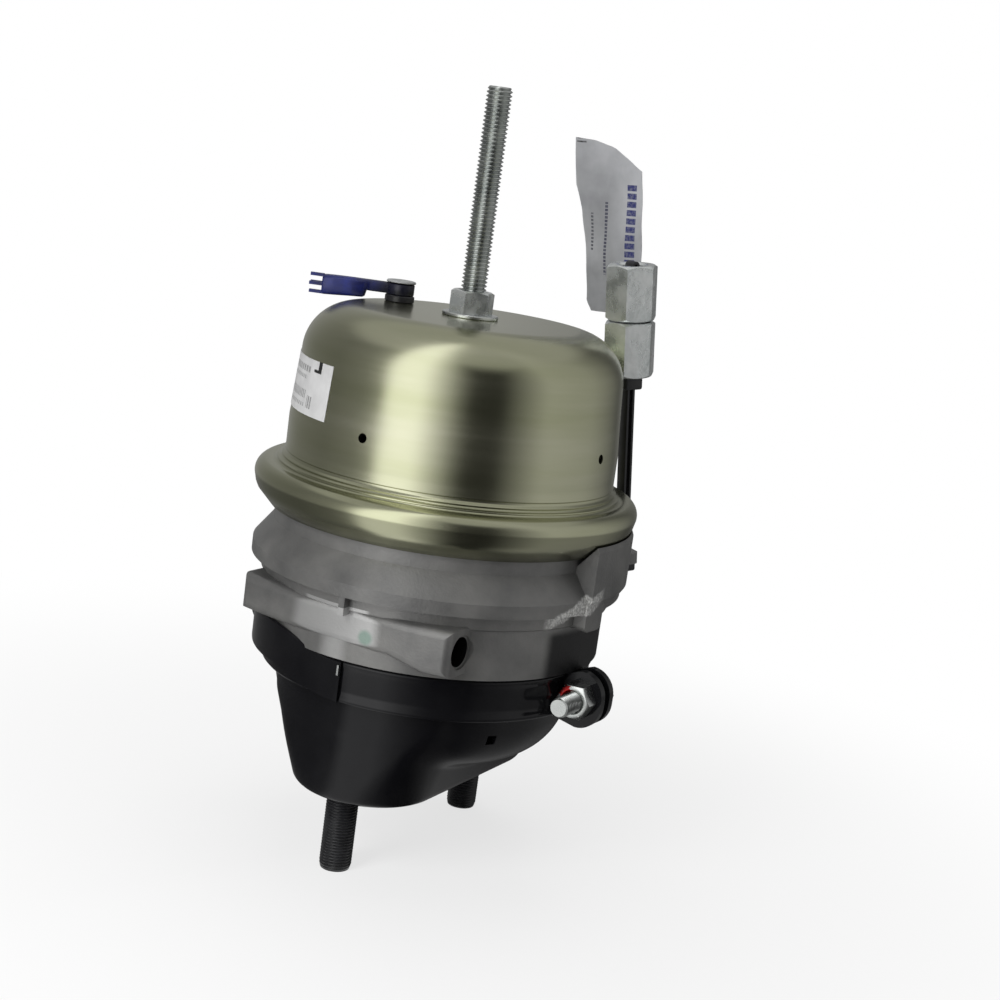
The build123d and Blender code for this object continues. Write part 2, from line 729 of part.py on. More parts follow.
# ================= spring housing =================
with BuildPart() as spring_housing:
    with BuildSketch(Plane.XZ):
        with BuildLine():
            outer_corner = dome_radius + flare_blend
            crease = bead_top + dome_wall
            crimp_inner = rim_radius + crimp_gap
            Line((bolt_hole_radius, dome_top), (dome_top_radius - dome_shoulder_radius, dome_top))
            RadiusArc(
                (dome_top_radius - dome_shoulder_radius, dome_top),
                (dome_top_radius, dome_shoulder_foot),
                dome_shoulder_radius,
            )
            Polyline(
                (dome_top_radius, dome_shoulder_foot),
                (dome_radius, dome_taper_start),
                (dome_radius, crease + flare_blend),
            )
            RadiusArc((dome_radius, crease + flare_blend), (outer_corner, crease), -flare_blend)
            ThreePointArc(
                (outer_corner, crease),
                (crimp_radius - 2.2, crease + 0.4),
                (crimp_radius, crimp_middle),
            )
            ThreePointArc(
                (crimp_radius, crimp_middle),
                (crimp_radius - 0.1, (crimp_middle + lip_corner.Y) / 2 + 1),
                (lip_corner.X, lip_corner.Y),
            )
            Line((lip_corner.X, lip_corner.Y), (lip_end.X, lip_end.Y))
            Line((lip_end.X, lip_end.Y), (lip_start.X, lip_start.Y))
            Polyline(
                (lip_start.X, lip_start.Y),
                (crimp_inner, rim_shoulder - crimp_gap / 2),
                (crimp_inner, bead_top),
                (dome_radius - dome_wall, bead_top),
                (dome_radius - dome_wall, dome_taper_start),
                (dome_top_radius - dome_wall, dome_shoulder_foot),
            )
            RadiusArc(
                (dome_top_radius - dome_wall, dome_shoulder_foot),
                (dome_top_radius - dome_shoulder_radius, dome_inside_top),
                -(dome_shoulder_radius - dome_wall),
            )
            Polyline(
                (dome_top_radius - dome_shoulder_radius, dome_inside_top),
                (bolt_hole_radius, dome_inside_top),
                (bolt_hole_radius, dome_top),
            )
        make_face()
    revolve(axis=Axis.Z)
    for index in range(vent_count):
        azimuth = index * 360 / vent_count
        vent_place = around(dome_radius - 2 * dome_wall, azimuth, vent_height)
        with BuildSketch(Plane(vent_place, z_dir=direction(azimuth))):
            Circle(vent_radius)
        extrude(amount=4 * dome_wall, mode=Mode.SUBTRACT)
    with BuildSketch(Plane(around(plug_radius_at, plug_azimuth, dome_inside_top))):
        Circle(button_neck_radius - 1 + fit_gap)
    extrude(amount=dome_wall, mode=Mode.SUBTRACT)
save(spring_housing, "spring_housing")

with BuildPart() as spring_diaphragm:
    with BuildSketch(Plane.XZ):
        with BuildLine():
            foot = adapter_disc_top + seat_gap
            top = foot + diaphragm_wall
            wall_top = dome_radius - dome_wall - diaphragm_wall - 4
            Polyline(
                (0, foot),
                (plate_radius - 4, foot),
                (wall_top - 2.5, bead_top + 6),
                (upper_cavity_radius - 5.0, rim_top),
                (rim_radius - 0.5, rim_top),
                (rim_radius - 0.5, bead_top),
                (dome_radius - dome_wall - 1.4, bead_top),
                (plate_radius + 1.5, top),
                (0, top),
                (0, foot),
            )
        make_face()
    revolve(axis=Axis.Z)
save(spring_diaphragm, "spring_diaphragm")

with BuildPart() as adapter_rod:
    with BuildSketch(Plane.XZ):
        with BuildLine():
            Polyline(
                (0, adapter_foot),
                (adapter_rod_radius - 2, adapter_foot),
                (adapter_rod_radius, adapter_foot + 1),
                (adapter_rod_radius, adapter_disc_foot),
                (adapter_disc_radius, adapter_disc_foot),
                (adapter_disc_radius, adapter_disc_top - 1.5),
                (adapter_disc_radius - 1.5, adapter_disc_top),
                (0, adapter_disc_top),
                (0, adapter_foot),
            )
        make_face()
    revolve(axis=Axis.Z)
save(adapter_rod, "adapter_rod")

with BuildPart() as adapter_spring:
    spring_foot = web_top - spring_pocket_depth + adapter_wire_radius + 0.1
    spring_head = adapter_disc_foot - adapter_wire_radius - 0.2
    with BuildLine() as adapter_path:
        Helix(
            pitch=(spring_head - spring_foot) / adapter_turns,
            height=spring_head - spring_foot,
            radius=adapter_spring_radius,
            center=(0, 0, spring_foot),
        )
    with BuildSketch(Plane(adapter_path.line @ 0, z_dir=adapter_path.line % 0)):
        RegularPolygon(adapter_wire_radius, wire_sides)
    sweep(path=adapter_path.line, is_frenet=True)
save(adapter_spring, "adapter_spring")

# ---- pressure plate with the keyed hub that the release bolt's tee turns into ----
hub_top = plate_foot + plate_hub_height
tee_top = hub_top - hub_roof - 0.2
with BuildPart() as pressure_plate:
    with BuildSketch(Plane.XZ):
        with BuildLine():
            Polyline(
                (0, plate_foot),
                (plate_radius - 2, plate_foot),
                (plate_radius, plate_foot + 2),
                (plate_radius, plate_foot + plate_rim_height),
                (plate_radius - 2.5, plate_foot + plate_rim_height),
                (plate_radius - 2.5, plate_foot + plate_thickness),
                (plate_hub_radius + 3, plate_foot + plate_thickness),
                (plate_hub_radius, hub_top),
                (0, hub_top),
                (0, plate_foot),
            )
        make_face()
    revolve(axis=Axis.Z)
    with BuildSketch(Plane.XY.offset(plate_foot + plate_thickness)):
        Circle(tee_length / 2 + 2)
    extrude(amount=plate_hub_height - plate_thickness - hub_roof, mode=Mode.SUBTRACT)
    with BuildSketch(Plane.XY.offset(hub_top - hub_roof)):
        SlotOverall(tee_length + 2, tee_width + 1.5, rotation=90)
    extrude(amount=hub_roof, mode=Mode.SUBTRACT)
save(pressure_plate, "pressure_plate")

with BuildPart() as release_bolt:
    with BuildSketch(Plane.XY.offset(tee_top - tee_thickness)):
        Rectangle(tee_length, tee_width)
    extrude(amount=tee_thickness)
    chamfer(release_bolt.edges().filter_by(Axis.Z), 2)
    with BuildSketch(Plane.XY.offset(tee_top)):
        Circle(bolt_radius)
    extrude(amount=bolt_top - tee_top)
    chamfer(release_bolt.edges().group_by(Axis.Z)[-1], 1.2)
save(release_bolt, "release_bolt")

with BuildPart() as power_spring:
    spring_foot = plate_foot + plate_thickness + power_wire_radius + 0.2
    spring_head = dome_inside_top - power_wire_radius - 0.2
    with BuildLine() as power_path:
        Helix(
            pitch=(spring_head - spring_foot) / power_turns,
            height=spring_head - spring_foot,
            radius=power_spring_radius,
            center=(0, 0, spring_foot),
            cone_angle=-14,
        )
    with BuildSketch(Plane(power_path.line @ 0, z_dir=power_path.line % 0)):
        RegularPolygon(power_wire_radius, wire_sides)
    sweep(path=power_path.line, is_frenet=True)
save(power_spring, "power_spring")

with BuildPart() as release_washer:
    with BuildSketch(Plane.XY.offset(washer_foot)):
        Circle(washer_radius)
        Circle(bolt_radius + 0.5, mode=Mode.SUBTRACT)
    extrude(amount=washer_thickness)
save(release_washer, "release_washer")

with BuildPart() as release_nut:
    with BuildSketch(Plane.XY.offset(nut_foot)):
        RegularPolygon(release_nut_across_flats / 2, 6, major_radius=False, rotation=12)
        Circle(bolt_radius + running_gap, mode=Mode.SUBTRACT)
    extrude(amount=release_nut_height)
save(release_nut, "release_nut")

# ================= dust plug and its button =================
button_top = dome_top + button_height
button_place = around(plug_radius_at, plug_azimuth, 0)
with BuildPart() as plug_button:
    with BuildSketch(Plane(button_place).offset(dome_inside_top)):
        Circle(button_neck_radius - 1)
    extrude(amount=dome_wall)
    with BuildSketch(Plane(button_place).offset(dome_top)):
        Circle(button_radius)
    extrude(amount=button_foot)
    with BuildSketch(Plane(button_place).offset(dome_top + button_foot)):
        Circle(button_neck_radius)
    extrude(amount=button_height - button_foot - button_head)
    with BuildSketch(Plane(button_place).offset(button_top - button_head)):
        Circle(button_radius)
    extrude(amount=button_head)
    fillet(plug_button.edges().group_by(Axis.Z)[-1], button_head / 2)
save(plug_button, "plug_button")

strap_foot = dome_top + button_foot + strap_gap
strap_thickness = button_height - button_foot - button_head - 2 * strap_gap
plug_line = Plane(button_place + Vector(0, 0, strap_foot), x_dir=direction(plug_direction), z_dir=(0, 0, 1))
plug_side = Plane(plug_line.origin, x_dir=plug_line.x_dir, z_dir=plug_line.y_dir * -1)
plug_body_start = plug_length - plug_body_length
plug_neck_end = button_radius + plug_neck_length
prong_middle = (strap_thickness - plug_end_drop) / 2
with BuildPart() as dust_plug:
    with BuildSketch(plug_line):
        Circle(button_radius - plug_ring_margin)
        with Locations((plug_body_start / 2, 0)):
            Rectangle(plug_body_start, plug_width * 0.75)
        Circle(button_neck_radius + 0.3, mode=Mode.SUBTRACT)
    extrude(amount=strap_thickness)
    with BuildSketch(plug_side):
        with BuildLine():
            Polyline(
                (plug_neck_end, 0),
                (plug_body_start - plug_edge_radius, 0),
                (plug_body_start, -plug_body_drop),
                (plug_length, -plug_end_drop),
                (plug_length, strap_thickness),
                (plug_neck_end, strap_thickness),
                (plug_neck_end, 0),
            )
        make_face()
    extrude(amount=plug_width / 2, both=True)
    fillet(dust_plug.faces().sort_by(Axis(plug_line.origin, plug_line.x_dir))[-1].edges(), plug_edge_radius)
    prong_origin = plug_line.origin + plug_line.x_dir * plug_length
    with BuildSketch(Plane(prong_origin, x_dir=plug_line.y_dir, z_dir=plug_line.x_dir)):
        with Locations(
            (0, prong_middle + plug_prong_spread),
            (plug_width * 0.3, prong_middle),
            (-plug_width * 0.3, prong_middle),
            (0, prong_middle - plug_prong_spread),
        ):
            Rectangle(plug_prong_width, plug_prong_thickness)
    extrude(amount=plug_prong_length)
save(dust_plug, "dust_plug")

# ================= tie, mounting nuts and tag =================
nut_gap = tag_thickness + 2 * fit_gap
lower_nut_foot = -mounting_nut_height / 2
upper_nut_foot = mounting_nut_height / 2 + nut_gap
tie_top = upper_nut_foot + mounting_nut_height + tie_tail

with BuildPart() as nut_tie:
    with BuildSketch(tie_plane.offset(lug_offset - lug_thickness - tie_foot_height)):
        Rectangle(tie_thickness, tie_width)
    extrude(amount=tie_top - lug_offset + lug_thickness + tie_foot_height)
    with BuildSketch(tie_plane.offset(lower_nut_foot - fit_gap)):
        RectangleRounded(tie_head_width * 0.8, tie_head_width, 2)
    extrude(amount=-tie_head_height)
    with BuildSketch(tie_plane.offset(lug_offset - lug_thickness - fit_gap)):
        RectangleRounded(tie_head_width * 0.8, tie_head_width, 2)
    extrude(amount=-tie_foot_height)
    fillet(nut_tie.faces().sort_by(Axis(tie_origin, tie_axis))[-1].edges(), 1.6)
save(nut_tie, "nut_tie")


nut_radius = mounting_nut_across_flats / 2
nut_reach = nut_radius / cos(radians(30)) + 1
seat_radius = nut_radius - mounting_nut_cone * 0.45
tie_section = Plane(tie_origin, x_dir=tie_plane.x_dir, z_dir=tie_plane.y_dir * -1)
with BuildPart() as mounting_nuts:
    for foot in (lower_nut_foot, upper_nut_foot):
        with BuildSketch(tie_plane.offset(foot)):
            RegularPolygon(nut_radius, 6, major_radius=False, rotation=mounting_nut_turn)
        extrude(amount=mounting_nut_height)
    # each nut has a conical seat at its foot, a chamfer at its head and a bore
    with BuildSketch(tie_section):
        for foot in (lower_nut_foot, upper_nut_foot):
            head = foot + mounting_nut_height
            with BuildLine():
                Polyline(
                    (mounting_nut_bore_radius, foot),
                    (seat_radius, foot),
                    (nut_reach, foot + (nut_reach - seat_radius) * 1.1),
                    (nut_reach, head - (nut_reach - nut_radius + 0.3) * 0.58),
                    (nut_radius - 0.3, head),
                    (mounting_nut_bore_radius, head),
                    (mounting_nut_bore_radius, foot),
                )
            make_face()
    revolve(axis=Axis(tie_origin, tie_axis), mode=Mode.INTERSECT)
save(mounting_nuts, "mounting_nuts")

tag_level = direction(tag_facing - tag_turn + 90)
tag_along = (tag_level - tie_axis * tag_level.dot(tie_axis)).normalized()
tag_back = tie_axis.cross(tag_along)
tag_middle = tie_origin + tie_axis * (mounting_nut_height / 2 + fit_gap)
fold_at = nut_radius / cos(radians(30)) + tag_fold_margin
with BuildPart() as tag:
    with BuildSketch(Plane(tag_middle, x_dir=tag_along, z_dir=tie_axis)):
        Circle(tag_tab_width / 2)
        with Locations((-0.16 * tag_tab_width, fold_at / 2)):
            Rectangle(0.68 * tag_tab_width, fold_at)
        Circle(tag_hole_radius, mode=Mode.SUBTRACT)
    extrude(amount=tag_thickness)
    with BuildSketch(Plane(tag_middle + tag_back * fold_at, x_dir=tag_along, z_dir=tag_back * -1)):
        with BuildLine():
            Polyline(
                (0.2 * tag_tab_width, 0),
                (-0.25 * tag_tab_width, 0.3 * tag_length),
                (-0.33 * tag_tab_width, 0.82 * tag_length),
                (-1.1 * tag_tab_width, 0.95 * tag_length),
                (-1.6 * tag_tab_width, tag_length),
                (-2.15 * tag_tab_width, 0.99 * tag_length),
                (-2.1 * tag_tab_width, 0.72 * tag_length),
                (-1.9 * tag_tab_width, 0.58 * tag_length),
                (-1.75 * tag_tab_width, 0.25 * tag_length),
                (-1.7 * tag_tab_width, 0.05 * tag_length),
                (-1.4 * tag_tab_width, 0),
                (0.2 * tag_tab_width, 0),
            )
        make_face()
    extrude(amount=tag_thickness)
save(tag, "tag")

# ================= label =================
with BuildPart() as label:
    with BuildSketch(Plane.XZ):
        with BuildLine():
            Polyline(
                (dome_wall_radius(label_foot) + 0.02, label_foot),
                (dome_wall_radius(label_foot) + label_thickness, label_foot),
                (dome_wall_radius(label_head) + label_thickness, label_head),
                (dome_wall_radius(label_head) + 0.02, label_head),
                (dome_wall_radius(label_foot) + 0.02, label_foot),
            )
        make_face()
    revolve(axis=Axis.Z, revolution_arc=label_end - label_start)
label.part = label.part.rotate(Axis.Z, label_start - 90)
save(label, "label")
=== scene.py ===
import math

import bmesh
import bpy
from mathutils import Matrix, Vector


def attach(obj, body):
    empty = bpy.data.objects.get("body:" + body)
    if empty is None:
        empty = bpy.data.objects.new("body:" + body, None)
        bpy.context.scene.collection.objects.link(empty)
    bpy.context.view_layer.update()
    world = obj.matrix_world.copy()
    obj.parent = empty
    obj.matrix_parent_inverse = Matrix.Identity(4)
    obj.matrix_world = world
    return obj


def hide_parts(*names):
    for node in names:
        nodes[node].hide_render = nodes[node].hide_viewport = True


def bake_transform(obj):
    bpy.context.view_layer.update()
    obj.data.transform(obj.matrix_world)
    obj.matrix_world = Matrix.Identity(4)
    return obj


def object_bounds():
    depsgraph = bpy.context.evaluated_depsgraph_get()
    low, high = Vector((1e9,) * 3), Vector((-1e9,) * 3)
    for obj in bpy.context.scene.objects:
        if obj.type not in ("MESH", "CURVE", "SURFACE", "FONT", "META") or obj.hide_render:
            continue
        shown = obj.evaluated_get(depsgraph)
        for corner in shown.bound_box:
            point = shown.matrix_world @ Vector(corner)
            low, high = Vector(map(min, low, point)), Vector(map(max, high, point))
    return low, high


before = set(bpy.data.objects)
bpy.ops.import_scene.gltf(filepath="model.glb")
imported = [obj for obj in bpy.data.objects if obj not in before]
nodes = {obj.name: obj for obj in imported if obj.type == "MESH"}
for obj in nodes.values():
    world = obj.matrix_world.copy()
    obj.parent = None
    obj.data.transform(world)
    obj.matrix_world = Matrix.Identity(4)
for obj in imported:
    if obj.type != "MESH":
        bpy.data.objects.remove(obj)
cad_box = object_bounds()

MM = 0.001
UP = Vector((0, 0, 1))
BLACK = (0.008, 0.008, 0.008)


# ---------------------------------------------------------------- shader helpers
def noise(tree, vector, scale, detail, stretch=None):
    if stretch:
        mapping = tree.nodes.new("ShaderNodeMapping")
        mapping.inputs["Scale"].default_value = stretch
        tree.links.new(vector, mapping.inputs["Vector"])
        vector = mapping.outputs["Vector"]
    n = tree.nodes.new("ShaderNodeTexNoise")
    n.inputs["Scale"].default_value = scale
    n.inputs["Detail"].default_value = detail
    n.inputs["Roughness"].default_value = 0.55
    tree.links.new(vector, n.inputs["Vector"])
    return n.outputs["Fac"]


def ramp(tree, value, stops):
    """A value turned into a colour, or into a grey where a stop holds one number."""
    r = tree.nodes.new("ShaderNodeValToRGB")
    elements = r.color_ramp.elements
    while len(elements) < len(stops):
        elements.new(0.5)
    for e, (at, color) in zip(elements, stops):
        e.position = at
        e.color = (color, color, color, 1) if isinstance(color, (int, float)) else (*color, 1)
    tree.links.new(value, r.inputs["Fac"])
    return r.outputs["Color"]


def bump(tree, shader, height, strength, distance):
    b = tree.nodes.new("ShaderNodeBump")
    b.inputs["Strength"].default_value = strength
    b.inputs["Distance"].default_value = distance
    tree.links.new(height, b.inputs["Height"])
    tree.links.new(b.outputs["Normal"], shader.inputs["Normal"])


def calculate(tree, operation, a, b=None):
    node = tree.nodes.new("ShaderNodeMath")
    node.operation = operation
    for socket, value in zip(node.inputs, (a, b)):
        if value is None:
            continue
        if isinstance(value, (int, float)):
            socket.default_value = value
        else:
            tree.links.new(value, socket)
    return node.outputs[0]


def product(tree, *factors):
    total = factors[0]
    for factor in factors[1:]:
        total = calculate(tree, "MULTIPLY", total, factor)
    return total


def map_range(tree, value, low, high, to_low=0.0, to_high=1.0, smooth=True):
    node = tree.nodes.new("ShaderNodeMapRange")
    node.inputs["From Min"].default_value = low
    node.inputs["From Max"].default_value = high
    node.inputs["To Min"].default_value = to_low
    node.inputs["To Max"].default_value = to_high
    if smooth:
        node.interpolation_type = "SMOOTHSTEP"
    tree.links.new(value, node.inputs["Value"])
    return node.outputs["Result"]


def inside(tree, value, low, high):
    """1 where the value lies between two limits, else 0."""
    above = calculate(tree, "GREATER_THAN", value, low)
    return product(tree, above, calculate(tree, "LESS_THAN", value, high))


def stripes(tree, value, period, share):
    """1 on a share of each period along the value, else 0."""
    phase = calculate(tree, "FRACT", calculate(tree, "DIVIDE", value, period))
    return calculate(tree, "LESS_THAN", phase, share)


def split(tree, vector):
    parts = tree.nodes.new("ShaderNodeSeparateXYZ")
    tree.links.new(vector, parts.inputs["Vector"])
    return parts.outputs["X"], parts.outputs["Y"], parts.outputs["Z"]


def azimuth_of(tree, x, y):
    """The angle in radians from -Y towards +X."""
    return calculate(tree, "ARCTAN2", x, product(tree, y, -1.0))


def distance_from(tree, vector, point):
    node = tree.nodes.new("ShaderNodeVectorMath")
    node.operation = "DISTANCE"
    node.inputs[1].default_value = point
    tree.links.new(vector, node.inputs[0])
    return node.outputs["Value"]


def along(tree, vector, origin, axis):
    """The distance from the origin along an axis, in millimetres."""
    away = tree.nodes.new("ShaderNodeVectorMath")
    away.operation = "SUBTRACT"
    away.inputs[1].default_value = origin * MM
    tree.links.new(vector, away.inputs[0])
    dot = tree.nodes.new("ShaderNodeVectorMath")
    dot.operation = "DOT_PRODUCT"
    dot.inputs[1].default_value = axis
    tree.links.new(away.outputs["Vector"], dot.inputs[0])
    return calculate(tree, "DIVIDE", dot.outputs["Value"], MM)


def place_on(material):
    """The material's node tree, and the place on the object in metres."""
    tree = material.node_tree
    return tree, tree.nodes["Texture Coordinate"].outputs["Object"]


def paint(material, mask, color):
    """Lays a colour over the material's own where the mask is 1."""
    tree = material.node_tree
    base = tree.nodes["Principled BSDF"].inputs["Base Color"]
    mix = tree.nodes.new("ShaderNodeMix")
    mix.data_type = "RGBA"
    tree.links.new(base.links[0].from_socket, mix.inputs["A"])
    mix.inputs["B"].default_value = (*color, 1)
    tree.links.new(mask, mix.inputs["Factor"])
    tree.links.new(mix.outputs["Result"], base)


def print_blocks(material, lengthwise, crosswise, wear, rows):
    """Rows of plain blocks: the row's limits both ways, the blocks' period, its filled share and a colour."""
    tree = material.node_tree
    for (start, end), (low, high), period, share, color in rows:
        blocks = product(tree, inside(tree, lengthwise, start, end), inside(tree, crosswise, low, high),
                         stripes(tree, lengthwise, period, share), wear)
        paint(material, blocks, color)


# ---------------------------------------------------------------- materials
def surface(name, low, high, rough, metallic=0.0, scale=60, grain=900, grain_depth=0.00005,
            grain_strength=0.3, stretch=None, specular=0.5):
    """A surface whose colour and roughness drift between two values, with a fine grain in its bump."""
    m = bpy.data.materials.new(name)
    m.use_nodes = True
    tree = m.node_tree
    shader = tree.nodes["Principled BSDF"]
    where = tree.nodes.new("ShaderNodeTexCoord").outputs["Object"]
    drift = noise(tree, where, scale, 5, stretch)
    tree.links.new(ramp(tree, drift, [(0.3, low), (0.7, high)]), shader.inputs["Base Color"])
    tree.links.new(ramp(tree, drift, [(0.3, rough[0]), (0.7, rough[1])]), shader.inputs["Roughness"])
    shader.inputs["Metallic"].default_value = metallic
    shader.inputs["Specular IOR Level"].default_value = specular
    bump(tree, shader, noise(tree, where, grain, 3, stretch), grain_strength, grain_depth)
    return m


black_paint = surface("black_paint", (0.004, 0.004, 0.005), (0.007, 0.007, 0.008), (0.06, 0.15),
                      scale=45, grain=300, grain_depth=0.00004, grain_strength=0.2, specular=0.27)
black_steel = surface("black_steel", (0.008, 0.008, 0.009), (0.018, 0.018, 0.02), (0.28, 0.45), scale=120)
dark_steel = surface("dark_steel", (0.16, 0.16, 0.165), (0.24, 0.24, 0.25), (0.35, 0.5), metallic=1, scale=80)
spring_steel = surface("spring_steel", (0.05, 0.055, 0.06), (0.08, 0.085, 0.09), (0.35, 0.5), metallic=0.3)
rubber = surface("rubber", (0.015, 0.015, 0.015), (0.03, 0.03, 0.03), (0.65, 0.8), grain=1500)
cast_aluminium = surface("cast_aluminium", (0.14, 0.14, 0.138), (0.23, 0.228, 0.22), (0.34, 0.48),
                         metallic=0.55, scale=38, grain=650, grain_depth=0.00025, grain_strength=0.5)
bush_plastic = surface("bush_plastic", (0.66, 0.64, 0.58), (0.76, 0.74, 0.68), (0.45, 0.55))
zinc_steel = surface("zinc_steel", (0.55, 0.57, 0.56), (0.72, 0.74, 0.72), (0.22, 0.36), metallic=1,
                     scale=140, grain=1800, grain_depth=0.00004)
zinc_bright = surface("zinc_bright", (0.70, 0.74, 0.73), (0.95, 0.97, 0.96), (0.16, 0.42), metallic=0.9,
                      scale=110, grain=220, grain_depth=0.00035, grain_strength=0.5)
zinc_thread = surface("zinc_thread", (0.42, 0.44, 0.43), (0.58, 0.60, 0.58), (0.22, 0.34), metallic=1,
                      scale=140, grain=1800, grain_depth=0.00004)
alloy_rod = surface("alloy_rod", (0.55, 0.55, 0.55), (0.63, 0.63, 0.63), (0.22, 0.3), metallic=1)
black_plastic = surface("black_plastic", (0.012, 0.012, 0.014), (0.02, 0.02, 0.023), (0.35, 0.5), scale=200)
button_plastic_and_sheen = surface("button_plastic_and_sheen", (0.010, 0.010, 0.012), (0.018, 0.018, 0.02), (0.25, 0.4), scale=200)
blue_plastic = surface("blue_plastic", (0.004, 0.006, 0.05), (0.010, 0.018, 0.15), (0.28, 0.40),
                       scale=130, grain=1200)
card = surface("card", (0.28, 0.285, 0.30), (0.45, 0.455, 0.475), (0.5, 0.65), scale=40, grain=2500)
label_film = surface("label_film", (0.47, 0.47, 0.47), (0.56, 0.56, 0.56), (0.35, 0.45), scale=120)
passivated = surface("passivated_zinc", (0.40, 0.41, 0.27), (0.50, 0.50, 0.37), (0.18, 0.27), metallic=1,
                     scale=22, grain=260, grain_depth=0.00004, grain_strength=0.2, stretch=(0.25, 0.25, 3.0))
marked_zinc = zinc_steel.copy()

finish_of = {
    "service_housing": black_paint, "mounting_studs": black_steel, "push_rod": dark_steel,
    "push_plate": dark_steel, "return_spring": spring_steel, "rod_boot": rubber, "boot_ring": black_steel,
    "service_diaphragm": rubber, "centre_body": cast_aluminium, "rod_bush": bush_plastic, "rod_seal": rubber,
    "front_clamp": black_paint, "rear_clamp": black_paint, "clamp_bolts": zinc_steel,
    "clamp_nuts": zinc_steel, "spring_housing": passivated, "spring_diaphragm": rubber,
    "adapter_rod": alloy_rod, "adapter_spring": spring_steel, "pressure_plate": dark_steel,
    "release_bolt": zinc_steel, "power_spring": spring_steel, "release_washer": zinc_steel,
    "release_nut": zinc_steel, "plug_button": black_plastic, "dust_plug": blue_plastic,
    "nut_tie": black_plastic, "mounting_nuts": zinc_steel, "tag": card, "label": label_film,
}
for node_name, material in finish_of.items():
    node = nodes[node_name]
    node.data.materials.clear()
    node.data.materials.append(material)


# ---------------------------------------------------------------- marks on the casting, in metres
BAR_FACE, BAR_EDGE, BAR_TOP = 0.0868, 0.0861, 0.1012    # distances from the axis, and the bar's height
PORT_AT, PORT_HEIGHT, PORT_RADIUS = 0.0695, 0.0903, 0.0084
DAB_AT = (0.0178, -BAR_FACE, 0.0885)


def mark_casting():
    tree, place = place_on(cast_aluminium)
    x, y, z = split(tree, place)
    azimuth = azimuth_of(tree, x, y)

    # painted light: the port bar's face is lighter than the rest of the casting, the more so towards its
    # right end
    painted_bar_light = product(tree, map_range(tree, y, -BAR_FACE, -BAR_EDGE, 0.85, 0.0),
                       calculate(tree, "LESS_THAN", z, BAR_TOP),
                       map_range(tree, x, -0.05, 0.055, 0.35, 1.0))
    paint(cast_aluminium, painted_bar_light, (0.60, 0.60, 0.595))

    # painted shade: the casting's right side above the clamp, turned away from the light, is darkened nearly
    # to black
    painted_shade_right = product(tree, map_range(tree, azimuth, 1.21, 1.30),
                        map_range(tree, azimuth, 2.0, 2.2, 1.0, 0.0),
                        map_range(tree, z, 0.094, 0.099, 1.0, 0.0), 0.93)
    paint(cast_aluminium, painted_shade_right, (0.008, 0.008, 0.009))

    # a rough bright facet that climbs to the right, with an uneven edge
    climb = product(tree, calculate(tree, "SUBTRACT", azimuth, 1.34), 0.034)
    rise = calculate(tree, "SUBTRACT", calculate(tree, "SUBTRACT", z, 0.1075), climb)
    ragged = product(tree, calculate(tree, "SUBTRACT", noise(tree, place, 150, 3), 0.5), 0.006)
    off_line = calculate(tree, "ABSOLUTE", calculate(tree, "ADD", rise, ragged))
    off_middle = calculate(tree, "ABSOLUTE", calculate(tree, "SUBTRACT", azimuth, 1.36))
    facet = product(tree, map_range(tree, off_line, 0.0038, 0.0056, 1.0, 0.0),
                    map_range(tree, off_middle, 0.13, 0.19, 1.0, 0.0),
                    map_range(tree, noise(tree, place, 900, 5), 0.35, 0.65, 0.25, 0.85))
    paint(cast_aluminium, facet, (0.78, 0.78, 0.76))

    # a dab of green inspection paint on the bar
    dab = map_range(tree, distance_from(tree, place, DAB_AT), 0.0022, 0.0048, 0.45, 0.0)
    paint(cast_aluminium, dab, (0.03, 0.22, 0.13))

    # painted shade: the tapped ports are darkened to black inside
    across = calculate(tree, "POWER", calculate(tree, "ADD", y, PORT_AT), 2.0)
    upright = calculate(tree, "POWER", calculate(tree, "SUBTRACT", z, PORT_HEIGHT), 2.0)
    in_bore = calculate(tree, "LESS_THAN", calculate(tree, "ADD", across, upright), PORT_RADIUS ** 2)
    in_bar = inside(tree, calculate(tree, "ABSOLUTE", x), 0.030, 0.0584)
    paint(cast_aluminium, product(tree, in_bore, in_bar), BLACK)


mark_casting()


# ---------------------------------------------------------------- mesh helpers, sizes in millimetres
def to_object(name, mesh, body, material, replaced, smooth_angle=32):
    """A visible piece that takes a CAD node's place, and rides a body where one is given."""
    ob = bpy.data.objects.new(name, mesh)
    bpy.context.scene.collection.objects.link(ob)
    mesh.shade_smooth()
    mesh.set_sharp_from_angle(angle=math.radians(smooth_angle))
    mesh.materials.clear()
    mesh.materials.append(material)
    if body:
        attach(ob, body)
    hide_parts(replaced)
    return ob


def mesh_from(points, faces):
    me = bpy.data.meshes.new("mesh")
    me.from_pydata([(x * MM, y * MM, z * MM) for x, y, z in points], [], faces)
    bm = bmesh.new()
    bm.from_mesh(me)
    bmesh.ops.remove_doubles(bm, verts=bm.verts, dist=1e-6)
    bmesh.ops.recalc_face_normals(bm, faces=bm.faces)
    bm.to_mesh(me)
    bm.free()
    return me


def spaced(start, end, steps):
    return [start + (end - start) * i / steps for i in range(steps + 1)]


def full_turn(segments):
    return [360 * s / segments for s in range(segments)]


def polar(r, azimuth, z):
    """A point at a distance from the axis, its azimuth in degrees from -Y towards +X."""
    return (r * math.sin(math.radians(azimuth)), -r * math.cos(math.radians(azimuth)), z)


def around(r, azimuth, z):
    return Vector(polar(r, azimuth, z))


def arc(centre, radius, start, end, steps):
    """Points of an arc in a half plane, its angles in degrees from the first coordinate's direction."""
    angles = [math.radians(a) for a in spaced(start, end, steps)]
    return [(centre[0] + radius * math.cos(a), centre[1] + radius * math.sin(a)) for a in angles]


